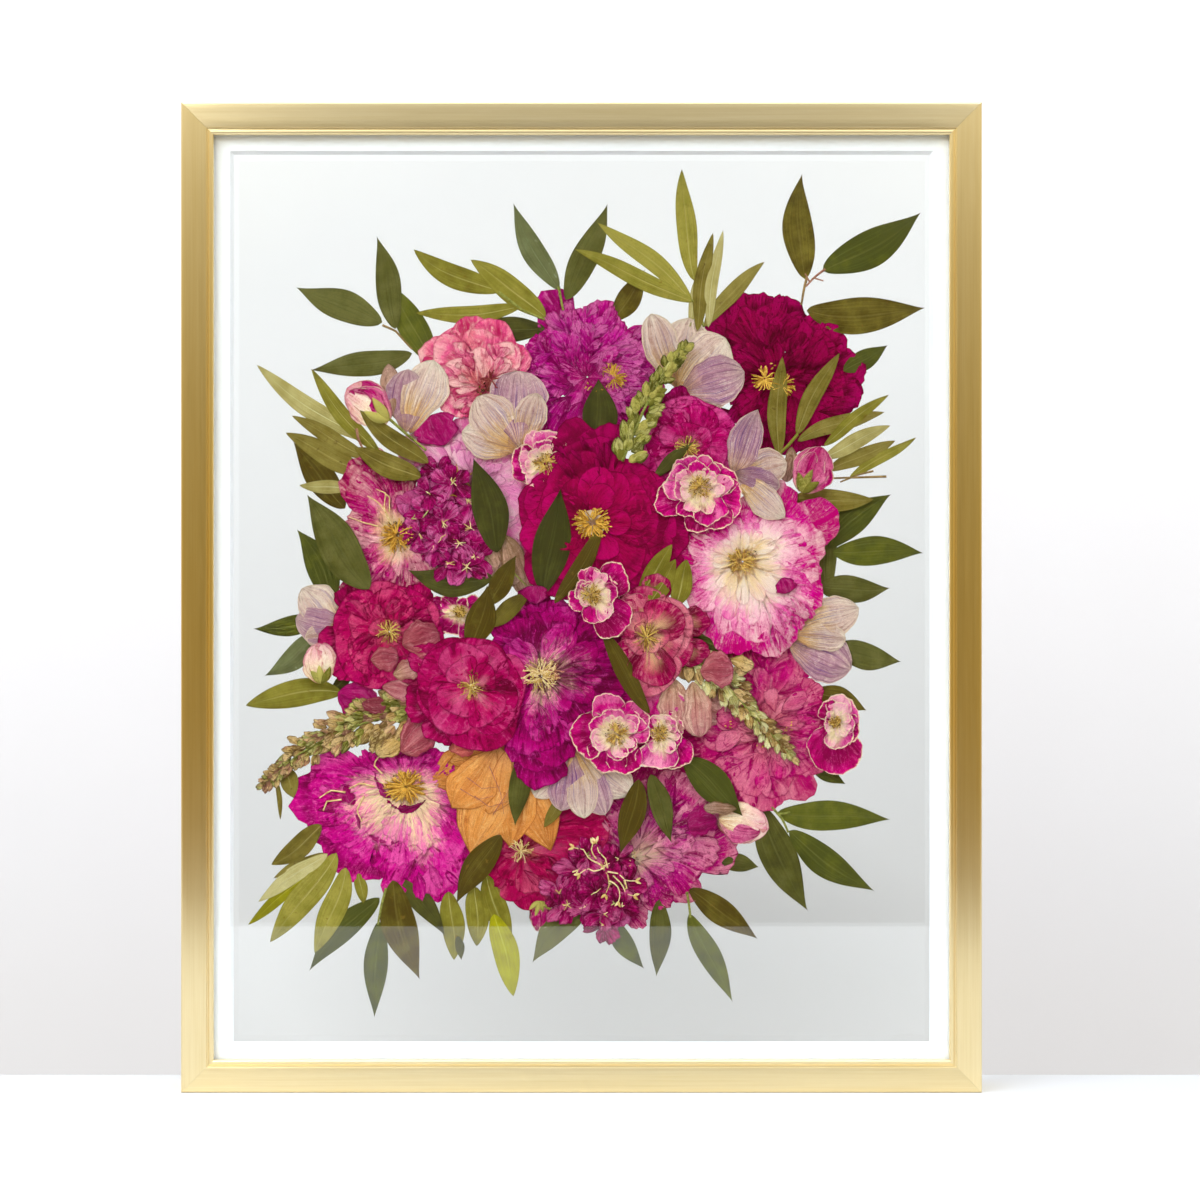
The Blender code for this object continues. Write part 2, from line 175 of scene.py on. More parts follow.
def surfaced(tree, shader, colour, roughness, specular=None):
    """The surface's colour and roughness, and how strongly it mirrors where that isn't the usual."""
    tree.links.new(colour, shader.inputs["Base Color"])
    tree.links.new(roughness, shader.inputs["Roughness"])
    if specular is not None:
        shader.inputs["Specular IOR Level"].default_value = specular


def place(tree):
    """Object coordinates in metres."""
    return add(tree, "ShaderNodeTexCoord").outputs["Object"]


def reading(tree, name):
    """The three channels that a pressed piece carries at each point."""
    node = add(tree, "ShaderNodeAttribute", {"attribute_name": name})
    return add(tree, "ShaderNodeSeparateXYZ", Vector=node.outputs["Vector"]).outputs


# ---------------------------------------------------------------- building thin sheets
def layer_y(layer):
    """Depth in mm of the middle of a press layer; 0 lies on the rear pane."""
    return PRESS_BACK - 0.5 - layer * LAYER_STEP


def away(at, far, degrees, squeeze=1.0):
    """The point so far from the point at, in a direction on the flower plane; squeeze flattens the circle."""
    turn = math.radians(degrees)
    return at[0] + far * math.cos(turn), at[1] + squeeze * far * math.sin(turn)


def placed(name, mesh, *materials):
    """An object for a mesh, in its materials and in the scene."""
    for material in materials:
        mesh.materials.append(material)
    made = bpy.data.objects.new(name, mesh)
    bpy.context.scene.collection.objects.link(made)
    return made


class Sheets:
    """Gathers petals, leaves, buds and threads into one mesh, with what each point's colour is read from:
    skin = (along the piece, across it, its own tone, which on petals also holds painted light and shade),
    bloom = (out from the heart, mm from its margin, turn)."""

    def __init__(self):
        self.points, self.skin, self.bloom, self.faces, self.slots = [], [], [], [], []
        self.count = 0

    def grid(self, points, skin, bloom, slot, closed=False):
        """Adds a rows x columns sheet; closed joins the last column to the first."""
        rows, cols = points.shape[:2]
        index = np.arange(rows * cols).reshape(rows, cols) + self.count
        right = np.roll(index, -1, axis=1) if closed else index[:, 1:]
        left = index if closed else index[:, :-1]
        quads = np.stack([left[:-1], right[:-1], right[1:], left[1:]], axis=-1).reshape(-1, 4)
        self.points.append(points.reshape(-1, 3))
        self.skin.append(skin.reshape(-1, 3))
        self.bloom.append(bloom.reshape(-1, 3))
        self.faces.append(quads)
        self.slots.append(np.full(len(quads), slot))
        self.count += rows * cols

    def build(self, name, materials, node=None, slot="petal_pink"):
        """Makes the mesh, puts it in the frame and hides the CAD solid it stands for."""
        points = np.concatenate(self.points) * MM
        faces = np.concatenate(self.faces)
        mesh = bpy.data.meshes.new(name)
        mesh.from_pydata(points.tolist(), [], faces.tolist())
        for key, values in (("skin", self.skin), ("bloom", self.bloom)):
            store = mesh.attributes.new(key, "FLOAT_VECTOR", "POINT")
            store.data.foreach_set("vector", np.concatenate(values).astype(np.float32).ravel())
        mesh.polygons.foreach_set("material_index", np.concatenate(self.slots).astype(np.int32))
        mesh.shade_smooth()
        made = placed(name, mesh, *materials)
        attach(made, "root")
        if node is not None:
            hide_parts(node)


def crumpling(rng, x, z):
    """A smooth random relief over the points x and z in mm, about -1 to 1."""
    turns = rng.uniform(0, 2 * math.pi, CRUMPLE_WAVES)
    pace = rng.uniform(*CRUMPLE_PACE, CRUMPLE_WAVES)
    phase = rng.uniform(0, 2 * math.pi, CRUMPLE_WAVES)
    total = 0
    for turn, k, start in zip(turns, pace, phase, strict=True):
        total = total + np.sin(k * (x * math.cos(turn) + z * math.sin(turn)) + start)
    return total / CRUMPLE_WAVES


# How a pressed petal lies: mm that its tip is raised and that its tissue crumples, the share its fan narrows
# by, the radians it may sway sideways, and how much painted shade darkens its base and sides against its
# middle, as a cupped petal is lit
PETAL_LIFT = 0.3
PETAL_CRUMPLE = 0.4
PETAL_PINCH = 0.15
PETAL_SWAY = 0.22
PETAL_CUP_SHADE = 0.6
CRUMPLE_WAVES = 6
CRUMPLE_PACE = (0.8, 2.4)


def petal(sheets, rng, base, turn, length, spread, y, corner=0.3, rag=0.03, ruffle=0.25, tone=None,
          heart=None,
          slot=0, rows=13, cols=17, lip=0.0, under=None):
    """A fan-shaped petal: base and length in mm, turn and spread in degrees, y its depth. corner rounds its
    outer corners, rag tears its margin, ruffle and lip raise it. heart gives the share of the way from the
    flower's heart to its rim; under is how far out the petals lying on it reach, and a band of painted shadow
    is laid just beyond it. Its tone carries painted shade too: darker towards its base and sides, lighter
    along its middle."""
    tone = rng.uniform(0, 1) if tone is None else tone
    t = np.linspace(0.02, 1, rows)[:, None]
    s = np.linspace(-1, 1, cols)[None, :]
    phase = rng.uniform(0, 2 * math.pi, 6)
    teeth = (np.sin(7 * s + phase[0]) + np.sin(13 * s + phase[1]) + 0.9 * np.sin(24 * s + phase[2])) / 3
    lobes = 0.06 * np.sin(2.3 * s + phase[3]) + 0.04 * np.sin(4.4 * s + phase[4])
    reach = length * np.cos(0.97 * s * math.pi / 2) ** corner * (1 + rag * teeth + lobes)
    half = math.radians(spread) / 2
    angle = math.radians(turn) + s * half * (1 - PETAL_PINCH * t**2) + 0.05 * np.sin(5 * t + phase[3])
    angle = angle + rng.uniform(-PETAL_SWAY, PETAL_SWAY) * t**1.5
    x = base[0] + t * reach * np.cos(angle)
    z = base[1] + t * reach * np.sin(angle)
    folds = np.sin(5 * s + phase[1]) + 0.6 * np.sin(11 * s + phase[2]) + 0.35 * np.sin(19 * s + phase[0])
    rise = PETAL_LIFT * t + ruffle * t**1.3 * folds / 2 + PETAL_CRUMPLE * crumpling(rng, x, z)
    if lip:
        rise = rise + lip * np.exp(-(((1 - t) * length / 2.2) ** 2))
    margin = np.minimum((1 - t) * reach + 0 * s, (1 - np.abs(s)) * half * t * length)
    points = np.stack([x, np.broadcast_to(y - rise, x.shape), z], axis=-1)
    out = t + 0 * s if heart is None else heart(x, z)
    # painted shade: the petal darker towards its base and sides and lighter along its middle, as a cupped
    # petal is lit
    cup_shade = 0.5 * t * (1 + np.cos(s * math.pi / 2)) - 0.5
    light = tone + PETAL_CUP_SHADE * (cup_shade + 0.25 * np.sin(3 * s + phase[5]))
    # painted shadow: a dark band on this petal just beyond where the petals lying over it end
    if under is not None:
        light = light - 0.6 * np.exp(-np.abs(out - under) / 0.06)
    skin = np.stack([t + 0 * s, s + 0 * t, np.clip(light, 0, 1)], axis=-1)
    turned = np.full(x.shape, rng.uniform(0, 3))
    sheets.grid(points, skin, np.stack([out, margin, turned], axis=-1), slot)


def blade(sheets, rng, tip, base, width, y, bend=0.0, widest=0.42, blunt=0.8, point=1.25, fold=0.25,
          wave=0.25, tone=None, slot=0, rows=22, cols=9, heart=0.0, rag=0.0):
    """A leaf or a pointed petal between base and tip, all in mm; bend bows it to the left of base-to-tip, rag
    makes its outline uneven."""
    tone = rng.uniform(0, 1) if tone is None else tone
    base, tip = np.array(base, float), np.array(tip, float)
    run = tip - base
    length = np.hypot(*run)
    run = run / length
    side = np.array([-run[1], run[0]])
    t = np.linspace(0.0, 1, rows)[:, None]
    s = np.linspace(-1, 1, cols)[None, :]
    power = math.log(0.5) / math.log(widest)
    swell = np.sin(math.pi * np.clip(t, 0.0005, 0.9995) ** power)
    half = width / 2 * swell ** (blunt * (1 - t) + point * t)
    wobble = 1 + 0.03 * np.sin(9 * t + 6 * tone + 2 * s)
    if rag:
        shift = rng.uniform(0, 2 * math.pi, 3)
        torn = np.sin(6 * t + 1.4 * s + shift[0]) + 0.7 * np.sin(14 * t + 2.2 * s + shift[1])
        wobble = wobble + rag * (torn + 0.4 * np.sin(31 * t + 3 * s + shift[2]))
    bow = bend * 4 * t * (1 - t) + 0.012 * length * np.sin(2 * math.pi * t + 9 * tone)
    across = s * half * wobble + bow
    x = base[0] + run[0] * t * length + side[0] * across
    z = base[1] + run[1] * t * length + side[1] * across
    phase = rng.uniform(0, 2 * math.pi, 3)
    ripple = np.sin(4 * t + phase[0]) + 0.4 * np.sin(9 * t + 2 * s + phase[1])
    rise = wave * ripple - fold * np.abs(s) * swell
    margin = np.minimum((1 - np.abs(s)) * half, (1 - t) * length)
    points = np.stack([x, y - rise + 0 * x, z], axis=-1)
    skin = np.stack([t + 0 * s, s + 0 * t, np.full(x.shape, tone)], axis=-1)
    turned = np.full(x.shape, rng.uniform(0, 1))
    sheets.grid(points, skin, np.stack([heart + 0 * x, margin, turned], axis=-1), slot)


def thread(sheets, path, radius, y, slot=0, tone=0.5, end=None, sides=5, flat=1.0):
    """A stem, twig or stamen along (x, z) points in mm, thinning to the end radius."""
    path = np.array(path, float)
    steps = np.concatenate([[0], np.cumsum(np.hypot(*np.diff(path, axis=0).T))])
    count = max(3, int(steps[-1] / 2.5) + 1)
    at = np.linspace(0, steps[-1], count)
    x, z = np.interp(at, steps, path[:, 0]), np.interp(at, steps, path[:, 1])
    dx, dz = np.gradient(x), np.gradient(z)
    size = np.hypot(dx, dz)
    nx, nz = -dz / size, dx / size
    t = at / steps[-1]
    r = radius + ((radius if end is None else end) - radius) * t
    ring = np.linspace(0, 2 * math.pi, sides, endpoint=False)
    c, w = np.cos(ring)[None, :], np.sin(ring)[None, :]
    r = r[:, None]
    depth = y(t)[:, None] if callable(y) else y
    points = np.stack([x[:, None] + nx[:, None] * c * r, depth - w * r * flat,
                       z[:, None] + nz[:, None] * c * r], -1)
    skin = np.stack([t[:, None] + 0 * c, c + 0 * r, np.full(points.shape[:2], tone)], -1)
    sheets.grid(points, skin, np.stack([t[:, None] + 0 * c, 0.5 + 0 * c * r, 0 * c * r], -1), slot,
                closed=True)


def pod(sheets, rng, at, turn, length, width, y, slot=0, thick=0.5, ridge=0.12, rows=9, cols=10):
    """A small swollen bud, anther or calyx lobe lying flat, its base at the given point."""
    tone = rng.uniform(0, 1)
    t = np.linspace(0, 1, rows)[:, None]
    ring = np.linspace(0, 2 * math.pi, cols, endpoint=False)[None, :]
    swell = np.sin(math.pi * np.clip(t, 0.004, 0.996) ** 0.8) ** 0.75
    ribs = 1 + ridge * np.cos(3 * ring + rng.uniform(0, 6))
    across = width / 2 * swell * np.cos(ring) * ribs
    rise = width / 2 * thick * swell * np.sin(ring) * ribs
    run = (math.cos(math.radians(turn)), math.sin(math.radians(turn)))
    bow = 0.06 * length * np.sin(math.pi * t) * rng.uniform(-1, 1)
    x = at[0] + run[0] * t * length - run[1] * (across + bow)
    z = at[1] + run[1] * t * length + run[0] * (across + bow)
    points = np.stack([x, y - rise, z], axis=-1)
    skin = np.stack([t + 0 * ring, np.cos(ring) + 0 * t, np.full(x.shape, tone)], axis=-1)
    bloom = np.stack([t + 0 * ring, width / 2 * (1 - np.abs(np.cos(ring))) * swell, 0 * x + tone], axis=-1)
    sheets.grid(points, skin, bloom, slot, closed=True)


def outline_reach(node, at):
    """How far the CAD solid reaches from the point (x, z), as a function of the angle in degrees."""
    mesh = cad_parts[node].data
    flat = np.array([(v.co.x / MM, v.co.z / MM) for v in mesh.vertices])
    edges = np.array([tuple(e.vertices) for e in mesh.edges])
    a, b = flat[edges[:, 0]] - at, flat[edges[:, 1]] - at
    angles = np.arange(0, 361, 3)
    found = []
    for degrees in angles:
        u = np.array([math.cos(math.radians(degrees)), math.sin(math.radians(degrees))])
        ca, cb = u[0] * a[:, 1] - u[1] * a[:, 0], u[0] * b[:, 1] - u[1] * b[:, 0]
        gap = ca - cb
        hit = (ca * cb <= 0) & (np.abs(gap) > 1e-9)
        share = ca[hit] / gap[hit]
        cross = a[hit] + share[:, None] * (b[hit] - a[hit])
        found.append(max(1.0, float((cross @ u).max(initial=1.0))))
    return lambda degrees: np.interp(np.mod(degrees, 360), angles, found)


FLOWER_THICK = 1.25


class Flower:
    """One pressed flower head in place of a CAD solid, its petals laid round a heart at (x, z) mm."""

    def __init__(self, node, heart_at, seed, grow=1.06):
        self.node, self.at = node, heart_at
        self.rng = np.random.default_rng(seed)
        self.sheets = Sheets()
        outline = outline_reach(node, heart_at)
        self.reach = lambda degrees: grow * outline(degrees)
        self.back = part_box(node)[1].y / MM - 0.1
        self.front = self.back - FLOWER_THICK

    def out(self, x, z):
        """Share of the way from the heart to the rim."""
        dx, dz = x - self.at[0], z - self.at[1]
        return np.clip(np.hypot(dx, dz) / self.reach(np.degrees(np.arctan2(dz, dx))), 0, 1.2)

    def depth(self, share):
        """Depth in mm: 0 at the back of the flower, 1 at its front."""
        return self.back + (self.front - self.back) * share

    def bed(self, count=7):
        """Wide petals from the heart itself that close the middle of the head from behind."""
        for i in range(count):
            angle = (i + self.rng.uniform(-0.2, 0.2)) * 360 / count
            petal(self.sheets, self.rng, self.at, angle, float(self.reach(angle)) * 0.7, 620 / count,
                  self.depth(0.0) + 0.15, corner=0.25, heart=self.out, tone=self.tone(angle, None))

    def spill(self, *angles, far=1.25):
        """Outer petals that reach under the neighbouring flowers."""
        for angle in angles:
            reach = float(self.reach(angle))
            base = away(self.at, 0.55 * reach, angle)
            petal(self.sheets, self.rng, base, angle, (far - 0.55) * reach, 95, self.depth(0.0) + 0.1,
                  heart=self.out, rag=0.05, corner=0.16, tone=self.rng.uniform(0.1, 0.5), under=0.98)

    def edge_petals(self, spread, *rows):
        """Single ragged petals deep under the head's margin: rows of (base, turn, length)."""
        for base, turn, length in rows:
            petal(self.sheets, self.rng, base, turn, length, spread, self.depth(0.02), heart=self.out,
                  **RAGGED)

    def trails(self, radius, end, *paths):
        """Long loose stamens lying over the petals, in the fourth material."""
        for path in paths:
            thread(self.sheets, path, radius, self.front - 0.3, slot=3, end=end)

    def tone(self, angle, lit_side):
        """How light a petal is; with a side given as (direction in degrees, amount), the petals towards that
        side are painted lighter and those opposite darker, as light falling from that side would show them."""
        if lit_side is None:
            return self.rng.uniform(0.25, 0.95)
        lean = lit_side[1] * math.cos(math.radians(angle - lit_side[0]))
        return float(np.clip(0.6 + lean + self.rng.uniform(-0.3, 0.3), 0, 1))

    def ring(self, count, start, end, spread, depth, turn=0.0, skew=0.0, arc=(0, 360), lit_side=None,
             uneven=0.06, **look):
        """Petals side by side round the heart, from one share of the reach to another."""
        rng = self.rng
        gap = (arc[1] - arc[0]) / count
        fan = min(165.0, 1.7 * spread * end / (end - start))
        for i in range(count):
            angle = turn + arc[0] + gap * (i + 0.5) + rng.uniform(-0.25, 0.25) * gap
            reach = float(self.reach(angle))
            inner = reach * start
            base = away(self.at, inner, angle)
            length = (reach * end - inner) * rng.uniform(1.01 - uneven, 1.01 + 0.8 * uneven)
            share = depth[0] + (depth[1] - depth[0]) * rng.uniform(0, 1)
            petal(self.sheets, rng, base, angle + rng.uniform(-1, 1) * skew, length,
                  fan * rng.uniform(0.88, 1.15),
                  self.depth(share), heart=self.out, tone=self.tone(angle, lit_side), **look)

    def scatter(self, count, near, far, length, spread, depth, swing=60, arc=(0, 360), lit_side=None, **look):
        """Small crumpled petals thrown over the head, each pointing more or less outwards."""
        rng = self.rng
        places = sorted(zip(rng.uniform(near, far, count), rng.uniform(arc[0], arc[1], count)), reverse=True)
        for i, (share, angle) in enumerate(places):
            reach = float(self.reach(angle))
            base = away(self.at, reach * share, angle)
            room = max(4.0, min(length[1], reach * (1.02 - share)))
            petal(self.sheets, rng, base, angle + rng.uniform(-swing, swing), min(rng.uniform(*length), room),
                  spread * rng.uniform(0.8, 1.25), self.depth(depth[0] + (depth[1] - depth[0]) * i / count),
                  heart=self.out, tone=self.tone(angle, lit_side), **look)

    def stamens(self, at, count, inner, outer, slot, thick=0.28, head=1.1, squeeze=1.0, swirl=25,
                arc=(0, 360)):
        """A ring of filaments, each with its anther."""
        rng = self.rng
        for _ in range(count):
            angle = rng.uniform(arc[0], arc[1])
            far = rng.uniform(0.7, 1.0) * outer
            near = inner * rng.uniform(0.4, 1.0)
            bend = angle + rng.uniform(-swirl, swirl)
            points = []
            for share, turn in ((0, angle), (0.5, (angle + bend) / 2 + rng.uniform(-6, 6)), (1, bend)):
                points.append(away(at, near + (far - near) * share, turn, squeeze))
            level = self.front - 0.35 - rng.uniform(0, 0.5)
            thread(self.sheets, points, thick, level, slot=slot, tone=rng.uniform(0, 1), sides=4)
            pod(self.sheets, rng, points[2], bend + rng.uniform(-60, 60), head * rng.uniform(0.8, 1.3),
                head * 0.55, level - 0.1, slot=slot, rows=5, cols=5, ridge=0)

    def seeds(self, at, count, radius, slot, size=1.0, y=None, squeeze=1.0):
        """A packed disc of dry anthers."""
        rng = self.rng
        y = self.front - 0.3 if y is None else y
        for _ in range(count):
            spot = away(at, radius * math.sqrt(rng.uniform(0, 1)), rng.uniform(0, 360), squeeze)
            pod(self.sheets, rng, spot, rng.uniform(0, 360), size * rng.uniform(0.8, 1.6), size * 0.7,
                y - rng.uniform(0, 0.5), slot=slot, rows=5, cols=5, ridge=0)

    def build(self, *materials, slot="petal_pink"):
        """Finishes the flower head as one piece."""
        self.sheets.build("pressed_" + self.node, materials, self.node, slot)


# ---------------------------------------------------------------- finishes of the frame
def brushed_gilt(name, along_x):
    """Gold foil over an extruded moulding, wire-brushed along its length under clear lacquer: a pale satin
    gold whose highlights stretch across the brushing."""
    made, tree, shader = new_material(name)
    where = place(tree)
    # streaks about 70 mm by 1 mm, hairlines about 17 mm by 0.4 mm
    streak = stretched(tree, where, (14, 900, 900) if along_x else (900, 900, 14))
    hair = stretched(tree, where, (60, 2600, 2600) if along_x else (2600, 2600, 60))
    lines = noise(tree, streak, 1.0, detail=4)
    hairs = noise(tree, hair, 1.0, detail=2)
    cloud = noise(tree, where, 9.0, detail=3)
    base = ramp(tree, lines, ((0.25, "#EFDAA2"), (0.5, "#F4E0AC"), (0.75, "#F8E6B6")))
    base = mixed(tree, span(tree, cloud, 0.3, 0.75, 0.0, 0.16), base, "#E6CB8C")
    base = mixed(tree, span(tree, hairs, 0.62, 0.8, 0.0, 0.2), base, "#FFF2CC")
    surfaced(tree, shader, base, span(tree, hairs, 0.3, 0.75, 0.28, 0.32))
    for socket, value in (("Metallic", 1.0), ("Anisotropic", 0.92), ("Anisotropic Rotation", 0.25),
                          ("Coat Weight", 0.25), ("Coat Roughness", 0.22)):
        shader.inputs[socket].default_value = value
    brushing = add(tree, "ShaderNodeTangent", {"direction_type": "UV_MAP", "uv_map": "grain"})
    tree.links.new(brushing.outputs["Tangent"], shader.inputs["Tangent"])
    # real brushing is finer than 0.1 mm; drawn at about 0.4 mm so that it shows
    bumped(tree, shader, hairs, 0.00001, strength=0.12)
    return made


def float_glass():
    """Clear float glass 2 mm thick: colourless, sharp reflections, the barest film of dust."""
    made, tree, shader = new_material("clear_float_glass")
    shader.inputs["Base Color"].default_value = linear("#FCFEFD")
    shader.inputs["Transmission Weight"].default_value = 1.0
    shader.inputs["IOR"].default_value = 1.5
    film = noise(tree, place(tree), 22.0, detail=5)
    tree.links.new(span(tree, film, 0.45, 0.8, 0.0, 0.012), shader.inputs["Roughness"])
    return made


def mat_board():
    """Cotton-core mat board: cool white paper face with a faint tooth, matt all over."""
    made, tree, shader = new_material("mat_board_white")
    where = place(tree)
    tooth = noise(tree, where, 1600.0, detail=3)
    cloud = noise(tree, where, 14.0, detail=4)
    base = ramp(tree, cloud, ((0.3, "#F2F5FC"), (0.7, "#F7FAFF")))
    base = mixed(tree, span(tree, tooth, 0.35, 0.7, 0.0, 0.12), base, "#E6E9F2")
    surfaced(tree, shader, base, span(tree, tooth, 0.3, 0.7, 0.78, 0.95))
    bumped(tree, shader, tooth, 0.00003, strength=0.4)
    return made


def spacer_board():
    """Foam board strips faced in white paper, faintly mottled with grey."""
    made, tree, shader = new_material("spacer_foam_board")
    where = place(tree)
    cells = noise(tree, where, 1900.0, detail=2)
    base = ramp(tree, cells, ((0.35, "#DADCE2"), (0.6, "#EEF0F5")))
    surfaced(tree, shader, base, span(tree, cells, 0.3, 0.7, 0.75, 0.9))
    bumped(tree, shader, cells, 0.00005, strength=0.5)
    return made


def strip_wood():
    """Planed basswood strip, unfinished: straight pale grain with a few darker pores."""
    made, tree, shader = new_material("strip_basswood")
    where = place(tree)
    grain = noise(tree, stretched(tree, where, (60, 60, 60)), 1.0, detail=4, distortion=1.2)
    fibre = noise(tree, stretched(tree, where, (420, 900, 420)), 1.0, detail=4)
    base = ramp(tree, grain, ((0.25, "#B08D5C"), (0.5, "#C9A878"), (0.8, "#DDC198")))
    base = mixed(tree, span(tree, fibre, 0.55, 0.8, 0.0, 0.4), base, "#9A7647")
    surfaced(tree, shader, base, span(tree, fibre, 0.3, 0.7, 0.6, 0.78))
    bumped(tree, shader, fibre, 0.00008, strength=0.5)
    return made


# ---------------------------------------------------------------- moulding, rebuilt with rounded edges
FRAME_WIDTH = (CAD_HIGH.x - CAD_LOW.x) / MM
FRAME_HEIGHT = (CAD_HIGH.z - CAD_LOW.z) / MM
FRONT = CAD_LOW.y / MM
DEPTH = (CAD_HIGH.y - CAD_LOW.y) / MM
MITRE_GAP = 0.04
FACE_WIDTH = 17.2
RABBET_WIDTH = 11.0
RABBET_FRONT = 4.5
BEAD = 1.5
RAIL_STEPS = 24


def arc(cx, cy, radius, start, end, count):
    """Points on an arc of the section, angles in degrees."""
    turns = np.radians(np.linspace(start, end, count))
    return [(cx + radius * math.cos(a), cy + radius * math.sin(a)) for a in turns]


def moulding_section():
    """Section of the moulding as (in from the outer edge, back from the front): eased outer edge, flat
    brushed face, fine groove, rounded bead at the sight edge, rabbet behind it."""
    section = arc(1.1, 1.1, 1.1, 180, 270, 7)
    section += [(4.0, 0.02), (9.0, 0.02)]
    section += arc(13.5, 0.25, 0.25, 270, 350, 4)
    section += [(13.85, 0.95), (14.0, 1.0), (14.3, 1.0)]
    section += arc(15.95, 1.75, BEAD, 205, 360, 14)[1:]
    section += [(FACE_WIDTH, 2.6), (FACE_WIDTH, 4.2)]
    section += arc(FACE_WIDTH - 0.25, RABBET_FRONT - 0.25, 0.25, 0, 90, 4)
    section += [(RABBET_WIDTH, RABBET_FRONT), (RABBET_WIDTH, DEPTH)]
    section += [(0.8, DEPTH), (0.35, DEPTH - 0.12), (0.0, DEPTH - 0.8)]
    return [(min(a, FACE_WIDTH), b) for a, b in section]


def rail(side, material):
    """One mitred length of moulding, with UVs running along its brushing."""
    section = moulding_section()
    level = side in ("top", "bottom")
    half = (FRAME_WIDTH if level else FRAME_HEIGHT) / 2
    points, uvs = [], []
    girth = np.concatenate([[0], np.cumsum([math.dist(a, b) for a,
                                            b in zip(section, section[1:], strict=False)])])
    for i in range(RAIL_STEPS + 1):
        for (inward, back), around in zip(section, girth, strict=True):
            s = (2 * i / RAIL_STEPS - 1) * (half - inward - MITRE_GAP)
            if level:
                x, z = s, inward if side == "bottom" else FRAME_HEIGHT - inward
            else:
                x, z = (inward - FRAME_WIDTH / 2) * (1 if side == "left" else -1), FRAME_HEIGHT / 2 + s
            points.append((x * MM, (FRONT + back) * MM, z * MM))
            uvs.append((s * MM, around * MM))
    count = len(section)
    faces = []
    for i in range(RAIL_STEPS):
        for j in range(count):
            k = (j + 1) % count
            faces.append((i * count + j, (i + 1) * count + j, (i + 1) * count + k, i * count + k))
    faces += [tuple(range(count)), tuple(range(RAIL_STEPS * count, (RAIL_STEPS + 1) * count))]
    mesh = bpy.data.meshes.new("rail_" + side)
    mesh.from_pydata(points, [], faces)
    work = bmesh.new()
    work.from_mesh(mesh)
    bmesh.ops.recalc_face_normals(work, faces=work.faces)
    work.to_mesh(mesh)
    work.free()
    layer = mesh.uv_layers.new(name="grain")
    for loop in mesh.loops:
        layer.data[loop.index].uv = uvs[loop.vertex_index]
    mesh.shade_smooth()
    mesh.set_sharp_from_angle(angle=math.radians(32))
    made = placed("gilt_rail_" + side, mesh, material)
    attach(made, "root")
    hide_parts("rail_" + side)


GILT_ALONG_X = brushed_gilt("gilt_foil_brushed_across", along_x=True)
GILT_ALONG_Z = brushed_gilt("gilt_foil_brushed_upright", along_x=False)
for end, gilt in (("bottom", GILT_ALONG_X), ("top", GILT_ALONG_X), ("left", GILT_ALONG_Z),
                  ("right", GILT_ALONG_Z)):
    rail(end, gilt)


def redress(node, material):
    """Gives a CAD piece that is kept as it is its finish."""
    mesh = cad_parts[node].data
    mesh.materials.clear()
    mesh.materials.append(material)


GLASS = float_glass()
BOARD = mat_board()
FOAM = spacer_board()
WOOD = strip_wood()
redress("glass_front", GLASS)
redress("glass_rear", GLASS)
redress("mat_window", BOARD)
for end in ("bottom", "top", "left", "right"):
    redress("spacer_" + end, FOAM)
    redress("strip_" + end, WOOD)


# ---------------------------------------------------------------- finishes of leaves and stems
def leaf_skin(name, deep, mid, pale, rib, spots=None, rib_share=0.3):
    """A pressed, dried leaf: leathery, slightly shiny, colour uneven from base to tip, fine veins running
    lengthwise beside a midrib."""
    made, tree, shader = new_material(name)
    skin = reading(tree, "skin")
    bloom = reading(tree, "bloom")
    where = place(tree)
    along, across, tone = skin["X"], skin["Y"], skin["Z"]
    cloud = noise(tree, where, 120.0, detail=4)
    fine = noise(tree, where, 900.0, detail=4)
    shade = sums(tree, "ADD", cloud, sums(tree, "MULTIPLY", sums(tree, "SUBTRACT", tone, 0.5), 0.75))
    base = ramp(tree, shade, ((0.22, deep), (0.5, mid), (0.85, pale)))
    base = mixed(tree, span(tree, fine, 0.5, 0.8, 0.0, 0.35), base, deep)
    width = sums(tree, "ABSOLUTE", across, 0.0)
    run = add(tree, "ShaderNodeCombineXYZ", X=sums(tree, "MULTIPLY", along, 1.3),
              Y=sums(tree, "MULTIPLY", across, 9.0), Z=sums(tree, "MULTIPLY", tone, 19.0)).outputs["Vector"]
    veins = noise(tree, run, 1.0, detail=4)
    vein = span(tree, veins, 0.52, 0.68)
    base = mixed(tree, sums(tree, "MULTIPLY", vein, 0.3), base, pale)
    base = mixed(tree, span(tree, veins, 0.48, 0.34, 0.0, 0.35), base, deep)
    midrib = span(tree, width, 0.09, 0.02)
    base = mixed(tree, sums(tree, "MULTIPLY", midrib, span(tree, along, 1.0, 0.2, 0.1, rib_share)), base, rib)
    if spots:
        mould = noise(tree, where, 330.0, detail=2, distortion=0.6)
        base = mixed(tree, span(tree, mould, 0.66, 0.74, 0.0, 0.7), base, spots)
    edge = span(tree, bloom["Y"], 0.55, 0.0, 0.0, 0.45)
    base = mixed(tree, edge, base, deep)
    surfaced(tree, shader, deepened(tree, base, 1.06, 0.86), span(tree, fine, 0.3, 0.7, 0.42, 0.62), 0.14)
    relief = sums(tree, "ADD", sums(tree, "MULTIPLY", vein, 0.5), sums(tree, "MULTIPLY", midrib, 1.2))
    relief = sums(tree, "ADD", relief, sums(tree, "MULTIPLY", fine, 0.7))
    bumped(tree, shader, relief, 0.00025, strength=0.6)
    return made


